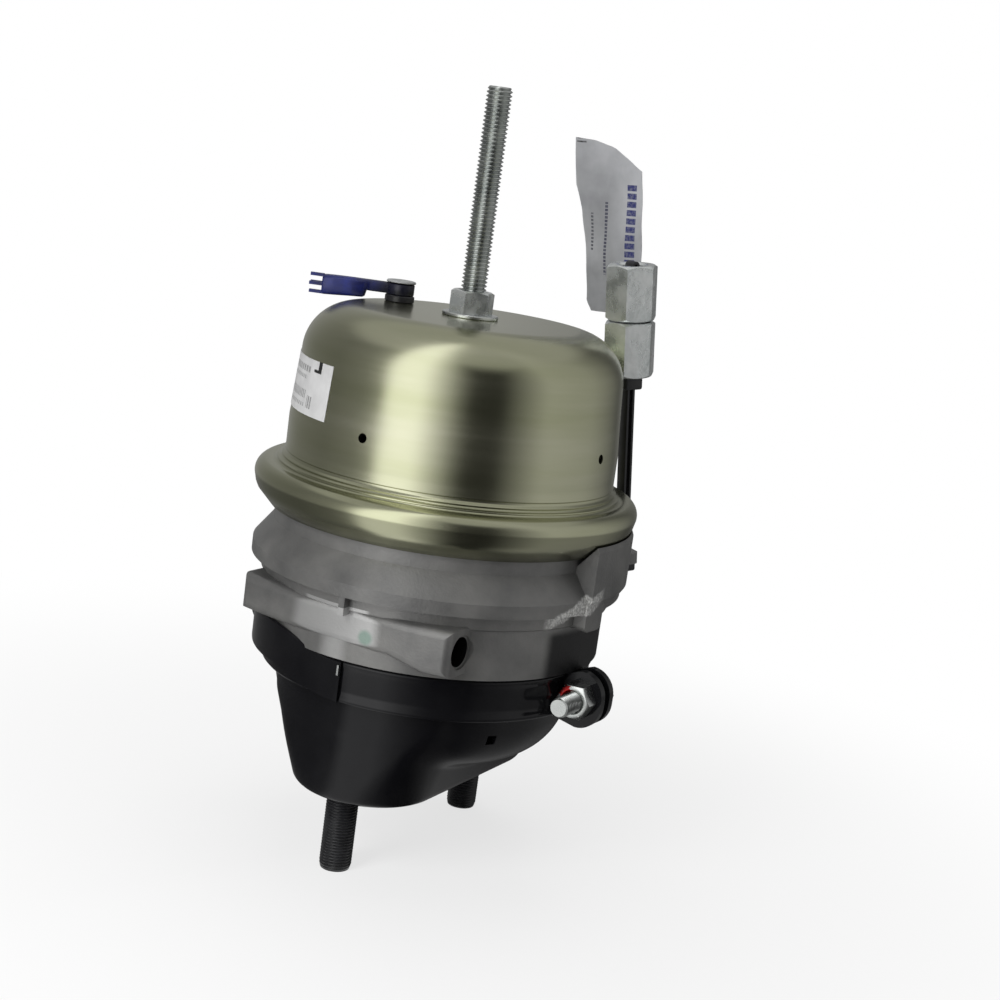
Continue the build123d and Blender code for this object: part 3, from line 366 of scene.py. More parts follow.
def loft(rings, closed=False):
    """A skin over rings of equal length, which ends in two caps unless it closes on itself."""
    n, count = len(rings[0]), len(rings)
    faces = []
    for k in range(count if closed else count - 1):
        after = (k + 1) % count
        for i in range(n):
            j = (i + 1) % n
            faces.append((k * n + i, after * n + i, after * n + j, k * n + j))
    if not closed:
        faces += [tuple(range(n)), tuple(reversed(range((count - 1) * n, count * n)))]
    return mesh_from([p for ring in rings for p in ring], faces)


def lathe(profile, segments):
    """A closed profile of (r, z) turned about Z."""
    return loft([[polar(r, a, z) for r, z in profile] for a in full_turn(segments)], closed=True)


def band(profile, start, end, segments=120):
    """A closed profile of (r, z) swept between two azimuths."""
    return loft([[polar(r, a, z) for r, z in profile] for a in spaced(start, end, segments)])


def block(x, y, z):
    """A box between pairs of limits."""
    points = [(i, j, k) for k in z for j in y for i in x]
    faces = [(0, 1, 3, 2), (4, 6, 7, 5), (0, 4, 5, 1), (2, 3, 7, 6), (0, 2, 6, 4), (1, 5, 7, 3)]
    return mesh_from(points, faces)


def cylinder(radius, foot, top, segments=48):
    return lathe([(0.001, foot), (radius, foot), (radius, top), (0.001, top)], segments)


def join(*meshes):
    bm = bmesh.new()
    for me in meshes:
        bm.from_mesh(me)
    joined = bpy.data.meshes.new("joined")
    bm.to_mesh(joined)
    bm.free()
    return joined


def placed(mesh, matrix):
    mesh.transform(matrix)
    return mesh


def shift(x, y, z):
    return Matrix.Translation((x * MM, y * MM, z * MM))


def rotation(degrees, axis):
    return Matrix.Rotation(math.radians(degrees), 4, axis)


def frame_matrix(origin, x, y, z):
    m = Matrix((x, y, z)).transposed().to_4x4()
    m.translation = origin * MM
    return m


def scratch(mesh):
    ob = bpy.data.objects.new("scratch", mesh)
    bpy.context.scene.collection.objects.link(ob)
    return ob


def apply_modifiers(ob):
    view = bpy.context.evaluated_depsgraph_get()
    view.update()
    mesh = bpy.data.meshes.new_from_object(ob.evaluated_get(view))
    ob.modifiers.clear()
    ob.data = mesh


def cut(target_mesh, cutter_mesh, operation="DIFFERENCE"):
    target, cutter = scratch(target_mesh), scratch(cutter_mesh)
    boolean = target.modifiers.new("cut", "BOOLEAN")
    boolean.operation = operation
    boolean.solver = "EXACT"
    boolean.object = cutter
    apply_modifiers(target)
    mesh = target.data
    bpy.data.objects.remove(cutter)
    bpy.data.objects.remove(target)
    return mesh


def soften(mesh, width):
    ob = scratch(mesh)
    bevel = ob.modifiers.new("soften", "BEVEL")
    bevel.width = width * MM
    bevel.segments = 3
    apply_modifiers(ob)
    mesh = ob.data
    bpy.data.objects.remove(ob)
    return mesh


def hexagon(flats, foot, height, bore=0.0, chamfer_top=True, chamfer_foot=False, turn=0.0, cone=30):
    """A chamfered hexagon nut or bolt head about Z, in its own frame."""
    lead = 1.1      # length of the bore's chamfer
    corner = flats / 2 / math.cos(math.radians(30))
    body = loft([[polar(corner, 60 * i + turn, z) for i in range(6)] for z in (foot, foot + height)])
    slope = math.tan(math.radians(cone))
    inner, outer = flats / 2 * 0.97, corner + 2
    top, drop = foot + height, (outer - inner) * slope
    if chamfer_foot:
        profile = [(0.001, foot), (inner, foot), (outer, foot + drop)]
    else:
        profile = [(0.001, foot - 1), (outer, foot - 1)]
    if chamfer_top:
        profile += [(outer, top - drop), (inner, top), (0.001, top)]
    else:
        profile += [(outer, top + 1), (0.001, top + 1)]
    body = cut(body, lathe(profile, 96), "INTERSECT")
    if bore:
        hole = lathe([(0.001, foot - 1), (bore + lead + 1, foot - 1), (bore, foot + lead), (bore, top - lead),
                      (bore + lead + 1, top + 1), (0.001, top + 1)], 64)
        body = cut(body, hole)
    return body


def thread(radius, pitch, foot, top, depth, start_free=1.5, end_free=1.5, segments=48):
    """A right-hand threaded rod about Z, which fades to its core at both ends."""
    flat = 0.12     # share of half a pitch that is flat at the crest, and at the root
    rows = []
    for z in spaced(foot, top, int((top - foot) / pitch * 8)):
        fade = min(1.0, (z - foot) / start_free, (top - z) / end_free)
        row = []
        for azimuth in full_turn(segments):
            phase = (z / pitch - azimuth / 360) % 1.0
            tooth = min(1.0, max(0.0, (abs(2 * phase - 1) - flat) / (1 - 2 * flat)))
            row.append(polar(radius - depth * max(tooth, 1 - fade), azimuth, z))
        rows.append(row)
    return loft(rows)


# ---------------------------------------------------------------- spring housing
DOME_TOP = 234.0
WALL = 2.6                          # thickness of the sheet
VENT_RADIUS, VENT_HEIGHT = 2.3, 179


def housing_profile():
    """The outside from the bolt's hole down to the rolled lip, then the inside back up."""
    rim_corner, neck_corner = Vector((93.2, 142.6)), Vector((84.5, 133.0))     # the casting's, inside the lip
    run = (rim_corner - neck_corner).normalized()
    out = Vector((run.y, -run.x))
    lip_start = neck_corner + run + out * 0.1
    lip_end = lip_start + out * WALL
    lip_corner = rim_corner + out * (WALL + 0.1)
    wall = [(80.6, 200), (81.5, 188), (82.5, 176), (82.5, 165), (82.5, 160.6)]
    beads = [(82.7, 160.1), (82.7, 159.5), (82.5, 159.2), (82.6, 158.4), (83.1, 157.8), (83.9, 157.4),
             (84.2, 157.0), (84.1, 156.6), (84.0, 156.2), (84.5, 155.6), (85.3, 155.3), (85.9, 155.1),
             (86.1, 154.7), (86.0, 154.3), (86.4, 153.8), (87.2, 153.5), (88.6, 153.3)]
    lip = [(lip_corner.x + 0.2, lip_corner.y + 1.2), (lip_corner.x - 0.8, lip_corner.y - 0.9),
           tuple(lip_end + run * 0.8), tuple(lip_end - out * 0.5), tuple(lip_start + out * 0.4),
           tuple(lip_start + run * 0.3)]
    inner = [(93.3, 142.7), (93.3, 150.5), (79.9, 150.5), (79.9, 176), (77.4, 209)]
    return ([(8.5, DOME_TOP)] + arc((55, 209), 25, 90, 0.5, 22) + wall + beads
            + arc((89.6, 146.9), 6.8, 74, -8, 14) + lip + inner
            + arc((55, 209), 22.4, 0, 90, 12) + [(8.5, DOME_TOP - WALL)])


housing_mesh = lathe(housing_profile(), 256)
for vent in range(4):
    hole = lathe([(0.001, 70), (VENT_RADIUS, 70), (VENT_RADIUS, 90), (0.001, 90)], 24)
    hole.transform(shift(0, 0, VENT_HEIGHT) @ rotation(90 * vent, "Z") @ rotation(90, "X"))
    housing_mesh = cut(housing_mesh, hole)
to_object("housing_shell", housing_mesh, "root", passivated, "spring_housing", 38)

# ---------------------------------------------------------------- release bolt, nut and washer
TEE_TOP = 195.82
BOLT_TOP = 345.5

bolt_mesh = join(
    block((-12, 12), (-6, 6), (TEE_TOP - 6, TEE_TOP)),
    cylinder(6.2, TEE_TOP - 0.5, 200.4),
    thread(6.35, 1.954, 200, BOLT_TOP, depth=1.15, end_free=1.6),
)
to_object("bolt_shell", bolt_mesh, "parking_train", zinc_thread, "release_bolt", 50)
nut_mesh = hexagon(19.05, 235.84, 11.1, bore=6.4, turn=12, cone=28)
to_object("nut_shell", nut_mesh, "release_nut", zinc_bright, "release_nut")
washer_profile = [(6.9, 234.02), (13.6, 234.02), (14, 234.4), (14, 235.4), (13.6, 235.82), (6.9, 235.82)]
to_object("washer_shell", lathe(washer_profile, 96), "root", zinc_steel, "release_washer")

# ---------------------------------------------------------------- service housing, a pressed bowl
BOWL_WALL = 3.5
BOWL_OPENING = 23.0
BOSS_HALF, BOSS_END = 36.0, 41.0            # half width, and where its round ends are centred
BOSS_EDGE, BOSS_DRAFT = 6.0, math.tan(math.radians(18))
CONE_FOOT, CONE_HEAD, SIDE_HEAD = 13, 21, 43
NECK_FOOT, NECK_RADIUS = 56, 77.0
LIP_TOP, LIP_RADIUS, LIP_INNER = 61.0, 80.5, 73.5
DRAIN_AZIMUTH = 60.5
BOWL_SEGMENTS = 256


def dish_radius(z):
    """The dish: a shallow cone, a round side, and a neck that opens a little."""
    if z < CONE_HEAD:
        return BOSS_HALF + (z - CONE_FOOT) * 2.5
    if z < SIDE_HEAD:
        return 44.68 + math.sqrt(30.49 ** 2 - (49.3 - z) ** 2)
    if z < NECK_FOOT:
        return 74.5 + (z - SIDE_HEAD) / (NECK_FOOT - SIDE_HEAD) * (NECK_RADIUS - 74.5)
    return NECK_RADIUS


def boss_radius(azimuth, z):
    """Distance from the axis to the drafted boss with its round foot edge."""
    half = BOSS_HALF + z * BOSS_DRAFT
    if z < 4.15:
        half = BOSS_HALF - 4.36 + math.sqrt(BOSS_EDGE ** 2 - (BOSS_EDGE - z) ** 2)
    a = math.radians(azimuth)
    across, lengthwise = abs(math.sin(a)), abs(math.cos(a))
    if across > 1e-6:
        straight = half / across
        if straight * lengthwise <= BOSS_END:
            return straight
    return BOSS_END * lengthwise + math.sqrt(max(0.0, half * half - (BOSS_END * across) ** 2))


def smooth_max(a, b, k):
    """The larger of two values, rounded over where they come within k of each other."""
    h = max(k - abs(a - b), 0.0) / k
    return max(a, b) + h * h * k / 4


def bowl_radius(azimuth, z):
    """Dish and boss, blended with a radius that fades out towards the neck."""
    k = max(0.5, 7 * min(1.0, max(0.0, (NECK_FOOT - z) / 14)))
    boss = -smooth_max(-boss_radius(azimuth, z), -NECK_RADIUS, 2.5)
    return min(smooth_max(dish_radius(z), boss, k), NECK_RADIUS + 0.2)


def bowl_ring(z, radius):
    """A ring of the bowl; its radius is a number, or a function of the azimuth."""
    azimuths = full_turn(BOWL_SEGMENTS)
    return [polar(radius(a) if callable(radius) else radius, a, z) for a in azimuths]


def bowl_mesh():
    levels = [0, 0.4, 0.9, 1.6, 2.5, 3.5, 4.7] + spaced(6, 12, 6) + spaced(12, 23, 22) + spaced(24, 54, 24)
    levels = sorted(set(levels)) + [NECK_FOOT]
    edge = BOWL_OPENING + 0.8
    rings = [bowl_ring(BOWL_WALL, BOWL_OPENING), bowl_ring(0.8, BOWL_OPENING), bowl_ring(0, edge)]
    rings += [bowl_ring(0, lambda a: edge + (bowl_radius(a, 0) - edge) * t) for t in (0.25, 0.5, 0.75)]
    rings += [bowl_ring(z, lambda a: bowl_radius(a, z)) for z in levels]
    rings += [bowl_ring(NECK_FOOT, 79.3), bowl_ring(57.2, LIP_RADIUS), bowl_ring(LIP_TOP, LIP_RADIUS),
              bowl_ring(LIP_TOP, LIP_INNER)]
    rings += [bowl_ring(z, lambda a: min(bowl_radius(a, z - 0.6) - BOWL_WALL, LIP_INNER))
              for z in reversed(levels) if z > BOWL_WALL + 1.5]
    rings.append(bowl_ring(BOWL_WALL, lambda a: bowl_radius(a, 4.5) - BOWL_WALL - 1.5))
    return loft(rings, closed=True)


drain = placed(block((-2.5, 2.5), (-80, -62), (37.5, 42.5)), rotation(DRAIN_AZIMUTH, "Z"))
bowl = cut(bowl_mesh(), drain)
to_object("bowl_shell", bowl, "root", black_paint, "service_housing", 45)

# ---------------------------------------------------------------- mounting studs
STUD_AT = 60.325

stud_meshes = []
for side in (-1, 1):
    stud = join(
        thread(8.0, 1.5, -39.0, -1.0, depth=0.7, start_free=2.6, end_free=0.8, segments=64),
        cylinder(7.9, -1.6, 3.5),
        cylinder(11.0, 3.5, 11.5),
    )
    stud_meshes.append(placed(stud, shift(0, side * STUD_AT, 0)))
to_object("studs_shell", join(*stud_meshes), "root", black_steel, "mounting_studs", 50)

# ---------------------------------------------------------------- clamp bolts, nuts and ears
BOLT_AT, JOINT = 93.3, 63.0
EAR_INNER, EAR_OUTER, EAR_RADIUS = 2.5, 6.5, 12.2

head_parts, bolt_parts, nut_parts = [], [], []
ear_parts = {-1: [], 1: []}         # of the front half and of the rear half
ear_outline = ([(80.6, 50.5)] + arc((92.6, 60.4), EAR_RADIUS, -90, 0, 9)
               + arc((92.6, 64.4), EAR_RADIUS, 0, 90, 9) + [(87.4, 74.6), (80.6, 73.0)])
for side, tail in ((-1, 10.5), (1, 22.4)):
    lay = shift(side * BOLT_AT, 0, JOINT) @ rotation(90, "X")
    head = hexagon(16, -EAR_OUTER - 6.52, 6.5, chamfer_top=False, chamfer_foot=True, turn=30)
    rod = thread(5.0, 1.5, EAR_OUTER - 0.5, EAR_OUTER + tail, depth=0.85, end_free=1.4, segments=40)
    head_parts.append(placed(head, lay))
    bolt_parts.append(placed(join(cylinder(4.9, -EAR_OUTER - 0.02, EAR_OUTER), rod), lay))
    nut_parts.append(placed(hexagon(16, EAR_OUTER + 0.02, 8.5, bore=5.05, turn=30), lay))
    for half in (-1, 1):
        hole = placed(cylinder(5.4, -9, 9, 32), lay)
        ear = loft([[(side * x, half * y, z) for x, z in ear_outline] for y in (EAR_INNER, EAR_OUTER)])
        ear_parts[half].append(cut(ear, hole))
to_object("clamp_heads_shell", join(*head_parts), "root", black_steel, "clamp_bolts", 50)
to_object("clamp_bolts_shell", join(*bolt_parts), "root", zinc_steel, "clamp_bolts", 50)
to_object("clamp_nuts_shell", join(*nut_parts), "root", marked_zinc, "clamp_nuts")


def mark_clamp_nut():
    """A worn dab of red paint on the right nut."""
    tree, place = place_on(marked_zinc)
    x, _, z = split(tree, place)
    worn = calculate(tree, "GREATER_THAN", noise(tree, place, 420, 4), 0.47)
    dab = product(tree, inside(tree, x, 0.0845, 0.0915), inside(tree, z, 0.060, 0.0705), worn)
    paint(marked_zinc, dab, (0.45, 0.03, 0.03))


mark_clamp_nut()

# ---------------------------------------------------------------- clamp band in two halves
CLAMP_MOUTH = [(79.3, 73.2), (79.3, 70.8), (81.4, 70.8), (81.4, 55.7), (78.3, 55.7)]
FLANGED = (
    [(78.3, 54.5), (82.6, 52.9)] + arc((83.4, 54.5), 1.6, -100, 20, 6)
    + [(84.5, 56.2), (84.0, 57.4), (83.9, 60), (83.9, 66), (84.0, 69.2), (84.5, 70.4)]
    + arc((83.4, 72.1), 1.7, -20, 100, 6) + CLAMP_MOUTH
)
SLIM = [(78.3, 54.5), (81.8, 52.9), (83.0, 54.1), (83.0, 72.3), (81.8, 73.4)] + CLAMP_MOUTH
STRAP = [(0.0, 53.4), (0.3, 52.9), (1.2, 52.7), (1.8, 53.2), (1.9, 54.2),
         (1.9, 71.6), (1.8, 72.6), (1.2, 73.1), (0.3, 72.9), (0.0, 72.4)]
CLIMB, CLIMB_OUT = 7.6, 3.7     # of the strap's far end, upwards and away from the axis
HALF_START, HALF_END = 1.7, 88.3


def rising_strap(start, end):
    """The front half's free end: a plain strap that climbs away from the joint plane."""
    rings = []
    for a in spaced(start, end, 80):
        t = min(max((2 - a) / 28, 0), 1)
        climb = t * t * (3 - 2 * t)
        rings.append([polar(83.1 + CLIMB_OUT * climb + off, a, z + CLIMB * climb) for off, z in STRAP])
    return loft(rings)


front_left = join(band(SLIM, -HALF_END, 4.2), rising_strap(-74.0, 3.4))
front_right = join(band(FLANGED, 4.4, HALF_END), *ear_parts[-1])
rear = join(band(FLANGED, 90 + HALF_START, 270 - HALF_START), *ear_parts[1])
clip = placed(block((-0.5, 0.5), (-86.4, -84.0), (66.5, 71.5)), rotation(3, "Z"))
to_object("front_band_left", front_left, "root", black_paint, "front_clamp", 40)
to_object("front_band_right", front_right, "root", black_paint, "front_clamp", 40)
to_object("band_clip", clip, "root", zinc_steel, "front_clamp")
to_object("rear_band", rear, "root", black_paint, "rear_clamp", 40)

# ---------------------------------------------------------------- mounting nuts on their tie
TIE_RADIUS, TIE_AZIMUTH, TIE_MIDDLE, TIE_LEAN = 94.33, 147.0, 225.0, math.radians(7.5)
NUT_HEIGHT, NUT_FLATS, NUT_GAP = 28.5, 24, 0.7
TIE_HALF = 1.6                      # half the distance between the strap's two runs
LUG_HEIGHT = 117.0

outward = around(1, TIE_AZIMUTH, 0)
tie_origin = around(TIE_RADIUS, TIE_AZIMUTH, TIE_MIDDLE)
tie_axis = UP * math.cos(TIE_LEAN) - outward * math.sin(TIE_LEAN)
tie_out = UP.cross(outward).cross(tie_axis)
tie_side = tie_axis.cross(tie_out)
tie_frame = frame_matrix(tie_origin, tie_out, tie_side, tie_axis)

nut_parts = []
for foot in (-NUT_HEIGHT / 2, NUT_HEIGHT / 2 + NUT_GAP):
    nut = hexagon(NUT_FLATS, foot, NUT_HEIGHT, bore=7.2, chamfer_foot=True, turn=19, cone=34)
    nut_parts.append(placed(nut, tie_frame))
to_object("mounting_nuts_shell", join(*nut_parts), "root", zinc_bright, "mounting_nuts")


def strip(path, width, thickness):
    """A flat strap with rounded edges that follows points (x, z) in the tie's frame."""
    section = [(-0.5, -0.32), (-0.42, -0.5), (0.42, -0.5), (0.5, -0.32),
               (0.5, 0.32), (0.42, 0.5), (-0.42, 0.5), (-0.5, 0.32)]
    rings = []
    for i, (x, z) in enumerate(path):
        before, after = Vector(path[max(i - 1, 0)]), Vector(path[min(i + 1, len(path) - 1)])
        d = (after - before).normalized() * thickness
        rings.append([(x + d.y * w, u * width, z - d.x * w) for u, w in section])
    return loft(rings)


lug_top = (LUG_HEIGHT - TIE_MIDDLE) / math.cos(TIE_LEAN)
loop_foot = lug_top - 9.5
loop_head = NUT_HEIGHT * 1.5 + NUT_GAP - 0.6
loop = [(TIE_HALF, z) for z in spaced(loop_foot, loop_head, 40)]
loop += [(x, loop_head + 0.95 * z) for x, z in arc((0, 0), TIE_HALF, 22.5, 157.5, 6)]
loop += [(-TIE_HALF, z) for z in spaced(loop_head, loop_foot, 40)]
heads = [block((-5.2, 5.2), (-6.5, 6.5), limits) for limits in
         ((-NUT_HEIGHT / 2 - 7.05, -NUT_HEIGHT / 2 - 0.05), (lug_top - 11.05, lug_top - 6.05))]
tie_mesh = placed(join(strip(loop, 7.6, 1.7), soften(join(*heads), 1.2)), tie_frame)
to_object("tie_strap", tie_mesh, "root", black_plastic, "nut_tie", 45)

# ---------------------------------------------------------------- tag, folded up between the two nuts
TAG_FACING, TAG_TURN = 120, math.radians(35)
FOLD_AT = NUT_FLATS / 2 / math.cos(math.radians(30)) + 1.5
TAG_HOLE, TAB_HALF, TAG_THICKNESS = 5.7, 11.0, 0.5

tag_origin = tie_origin + tie_axis * (NUT_HEIGHT / 2 + 0.05)
tag_along = around(1, TAG_FACING, 0) * math.cos(TAG_TURN) + around(1, TAG_FACING - 90, 0) * math.sin(TAG_TURN)
tag_along = (tag_along - tie_axis * tag_along.dot(tie_axis)).normalized()
tag_back = tie_axis.cross(tag_along)


def between(table, x):
    """A value read from a table of (x, value) by straight lines."""
    for (x0, v0), (x1, v1) in zip(table, table[1:]):
        if x <= x1:
            return v0 + (v1 - v0) * (x - x0) / (x1 - x0)
    return table[-1][1]


def tag_panel():
    """The upright part of the card: two wavy sheets with a rim, u across and v up from the fold."""
    columns, levels = 22, 48
    left_edge = [(-1, -31), (0, -34), (5, -37.4), (26, -38.3), (53, -41.5), (66, -45.8), (90.5, -47)]
    right_edge = [(-1, 3), (4, 1), (28, -4.8), (75, -6)]
    top_edge = [(0, 90.5), (0.3, 89.5), (0.57, 86.3), (1, 74.8)]
    points, faces = [], []
    for side in (0, 1):
        for t in spaced(0, 1, levels):
            for s in spaced(0, 1, columns):
                v = between(top_edge, s) * t
                left = between(left_edge, top_edge[0][1] * t)
                u = left + (between(right_edge, top_edge[-1][1] * t) - left) * s
                wave = 1.2 * math.sin(u * 0.13 + v * 0.05) * min(1.0, v / 20)
                wave += 0.5 * math.sin(v * 0.21 - u * 0.17) + 0.25 * math.sin(u * 0.9 + v * 0.33)
                wave += 2.2 * ((s - 0.5) ** 2) * min(1.0, v / 30)
                off = FOLD_AT + wave * 0.6 + side * 0.4
                points.append(tuple(tag_origin + tag_along * u + tie_axis * v + tag_back * off))

    def at(side, level, column):
        return (side * (levels + 1) + level) * (columns + 1) + column

    for side in (0, 1):
        for j in range(levels):
            for i in range(columns):
                faces.append((at(side, j, i), at(side, j, i + 1), at(side, j + 1, i + 1), at(side, j + 1, i)))
    for i in (0, columns):
        faces += [(at(0, j, i), at(0, j + 1, i), at(1, j + 1, i), at(1, j, i)) for j in range(levels)]
    for j in (0, levels):
        faces += [(at(0, j, i), at(0, j, i + 1), at(1, j, i + 1), at(1, j, i)) for i in range(columns)]
    return mesh_from(points, faces)


def tag_tab():
    """The flat part between the nuts: a half ring round the tie, and two legs to the fold."""
    steps = 24
    points, faces = [], []
    for z in (0.0, TAG_THICKNESS):
        for a in spaced(0, math.pi, steps):
            points += [(r * math.cos(a), -r * math.sin(a), z) for r in (TAG_HOLE, TAB_HALF)]
        points += [(x, FOLD_AT, z) for x in (-TAB_HALF, -TAG_HOLE, 1.5, 4.0)]
    legs_at = 2 * (steps + 1)
    for first in (0, legs_at + 4):
        legs, end = first + legs_at, first + 2 * steps
        faces += [(a, a + 1, a + 3, a + 2) for a in range(first, end, 2)]
        faces += [(first, first + 1, legs + 3, legs + 2), (end, end + 1, legs, legs + 1)]
    return placed(mesh_from(points, faces), frame_matrix(tag_origin, tag_along, tag_back, tie_axis))


def print_tag():
    tree, place = place_on(card)
    u = along(tree, place, tag_origin, tag_along)
    v = along(tree, place, tag_origin, tie_axis)
    wear = map_range(tree, noise(tree, place, 900, 4), 0.35, 0.6, 0.72, 0.97)
    print_blocks(card, v, u, wear, (
        ((26, 68), (-14.5, -9.0), 4.3, 0.72, (0.015, 0.02, 0.12)),
        ((20, 58), (-27.0, -25.4), 1.9, 0.7, (0.05, 0.05, 0.09)),
        ((32, 52), (-35.5, -34.0), 1.9, 0.6, (0.07, 0.07, 0.09)),
        ((88, 92), (-46.0, -40.0), 3.0, 0.6, (0.03, 0.03, 0.03)),
    ))


print_tag()
to_object("tag_card", join(tag_panel(), tag_tab()), "root", card, "tag", 60)

# ---------------------------------------------------------------- label on the spring housing
LABEL_START, LABEL_END, LABEL_FOOT, LABEL_HEAD = -60.0, -17.6, 181.3, 207.6


def wall_radius(z):
    """The dome's side, which leans in towards its shoulder."""
    return 82.5 - 2.5 * (z - 176) / 33


def print_label():
    """Rows of plain bars along the label, in degrees and millimetres, and a black corner mark."""
    tree, place = place_on(label_film)
    x, y, z = split(tree, place)
    azimuth = product(tree, azimuth_of(tree, x, y), math.degrees(1))
    height = calculate(tree, "DIVIDE", z, MM)
    wear = map_range(tree, noise(tree, place, 1100, 4), 0.35, 0.6, 0.6, 0.95)
    print_blocks(label_film, azimuth, height, wear, (
        ((-52, -32), (201.0, 204.0), 2.4, 0.66, (0.16, 0.16, 0.16)),
        ((-52, -34), (197.6, 199.4), 1.8, 0.6, (0.22, 0.22, 0.22)),
        ((-52, -33), (188.5, 192.5), 1.6, 0.5, (0.14, 0.14, 0.14)),
        ((-52, -33), (184.6, 186.4), 2.0, 0.6, (0.22, 0.22, 0.22)),
        ((-31, -27), (184.5, 190.5), 1.5, 0.6, (0.12, 0.12, 0.12)),
    ))
    for start, end, low, high in ((-26.2, -24.0, 202.4, 207.7), (-29.0, -24.0, 202.2, 203.6)):
        stroke = product(tree, inside(tree, azimuth, start, end), inside(tree, height, low, high))
        paint(label_film, stroke, (0.01, 0.01, 0.01))


print_label()
label_section = [(wall_radius(z) + off, z) for z, off in
                 ((LABEL_FOOT, 0.05), (LABEL_FOOT, 0.28), (LABEL_HEAD, 0.28), (LABEL_HEAD, 0.05))]
label_mesh = band(label_section, LABEL_START, LABEL_END, 40)
to_object("label_film_shell", label_mesh, "root", label_film, "label", 50)

# ---------------------------------------------------------------- dust plug and its button
PLUG_RADIUS, PLUG_AZIMUTH, PLUG_DIRECTION = 45.5, -96.0, -60.0
plug_at = around(PLUG_RADIUS, PLUG_AZIMUTH, DOME_TOP)
button_profile = [(0.001, -2.4), (3.4, -2.4), (3.4, 0.02), (6.9, 0.02), (7.5, 0.5), (7.5, 3.0), (7.0, 3.45),
                  (4.5, 3.5), (4.5, 9.5), (7.0, 9.55), (7.5, 9.9), (7.5, 10.3), (7.1, 10.85), (6.2, 11.0),
                  (5.2, 10.9), (4.6, 10.6), (0.001, 10.6)]
ring_profile = [(4.8, 0.0), (6.6, 0.0), (7.0, 0.4), (7.0, 5.2), (6.6, 5.6), (4.8, 5.6)]
# the body's sections: distance from the button, foot, top and half width
BODY = [(5.2, 0.0, 5.6, 3.4), (10, 0.0, 5.6, 3.9), (15, 0.0, 5.6, 4.1), (17, 0.1, 5.6, 4.2),
        (17.8, -3.1, 5.6, 5.0), (18.8, -3.6, 5.6, 5.4), (26, -4.0, 5.6, 5.5), (33, -4.5, 5.5, 5.5),
        (38.6, -4.8, 5.3, 5.4), (39.5, -4.2, 4.7, 4.9)]
PRONGS = [(0, 4.65), (3.2, 0.35), (-3.2, 0.35), (0, -3.95)]


def mark_plug():
    """The button's cap gets a painted sheen as a grey top, and the blue plastic darkens towards the button.
    """
    tree, place = place_on(button_plastic_and_sheen)
    z = split(tree, place)[2]
    # painted sheen: a grey top on the button's black cap
    paint(button_plastic_and_sheen, calculate(tree, "GREATER_THAN", z, 0.2440), (0.30, 0.31, 0.31))
    tree, place = place_on(blue_plastic)
    away = distance_from(tree, place, (plug_at + UP * 5) * MM)
    paint(blue_plastic, map_range(tree, away, 0.008, 0.022, 0.92, 0.0), (0.006, 0.006, 0.010))


def plug_section(x, low, high, half_width):
    """An oval with squared sides."""
    ring = []
    for azimuth in full_turn(16):
        a = math.radians(azimuth)
        y, z = (math.copysign(abs(v) ** 0.45, v) for v in (math.cos(a), math.sin(a)))
        ring.append((x, y * half_width, z * (high - low) / 2 + (high + low) / 2))
    return ring


mark_plug()
button = placed(lathe(button_profile, 96), Matrix.Translation(plug_at * MM))
to_object("plug_button_shell", button, "root", button_plastic_and_sheen, "plug_button")
plug_out = around(1, PLUG_DIRECTION, 0)
plug_frame = frame_matrix(plug_at + UP * 3.7, plug_out, UP.cross(plug_out), UP)
prongs = [block((39, 46), (y - 1.3, y + 1.3), (z - 0.8, z + 0.8)) for y, z in PRONGS]
plug_mesh = join(lathe(ring_profile, 64), loft([plug_section(*row) for row in BODY]), *prongs)
plug_mesh = placed(plug_mesh, plug_frame)
to_object("dust_plug_shell", plug_mesh, "root", blue_plastic, "dust_plug", 50)

# ---------------------------------------------------------------- soft pieces between two bodies, copied where they stand
SEAT = 3.2 * MM     # length inside each end of a soft piece, where its ends are taken

for soft_name, moving_body, slot_name, fixed_on_top in (
    ("rod_boot", "push_rod", "rubber", False),
    ("return_spring", "push_rod", "spring_steel", False),
    ("service_diaphragm", "push_rod", "rubber", False),
    ("adapter_spring", "parking_train", "spring_steel", False),
    ("spring_diaphragm", "parking_train", "rubber", False),
    ("power_spring", "parking_train", "spring_steel", True),
):
    node = nodes[soft_name]
    soft_mesh = placed(node.data.copy(), node.matrix_world)
    heights = [v.co.z for v in soft_mesh.vertices]
    ends = [UP * (min(heights) + SEAT), UP * (max(heights) - SEAT)]
    if fixed_on_top:
        ends.reverse()
    piece = to_object(soft_name + "_soft", soft_mesh, None, finish_of[soft_name], soft_name)
    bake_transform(piece)


# ---------------------------------------------------------------- floor, world and lights
WORLD_LIGHT = 0.22
CAMERA_AZIMUTH = math.radians(30.327)
ahead = Vector((-math.sin(CAMERA_AZIMUTH), math.cos(CAMERA_AZIMUTH), 0))
aside = Vector((math.cos(CAMERA_AZIMUTH), math.sin(CAMERA_AZIMUTH), 0))
middle = UP * 0.15
low_z = cad_box[0][2]


def staged(name, points, faces, shade):
    """A part of the set with a plain grey material, and that material's node tree."""
    me = bpy.data.meshes.new(name)
    me.from_pydata(points, [], faces)
    ob = bpy.data.objects.new(name, me)
    bpy.context.scene.collection.objects.link(ob)
    m = bpy.data.materials.new(name)
    m.use_nodes = True
    shader = m.node_tree.nodes["Principled BSDF"]
    shader.inputs["Base Color"].default_value = (shade, shade, shade, 1)
    shader.inputs["Roughness"].default_value = 0.9
    ob.data.materials.append(m)
    return ob, m.node_tree


def seen_directly(tree):
    """1 for camera, glossy and transmission rays, 0 for the rays that light the object."""
    path = tree.nodes.new("ShaderNodeLightPath")
    total = path.outputs["Is Camera Ray"]
    for name in ("Is Glossy Ray", "Is Transmission Ray"):
        total = calculate(tree, "MAXIMUM", total, path.outputs[name])
    return total


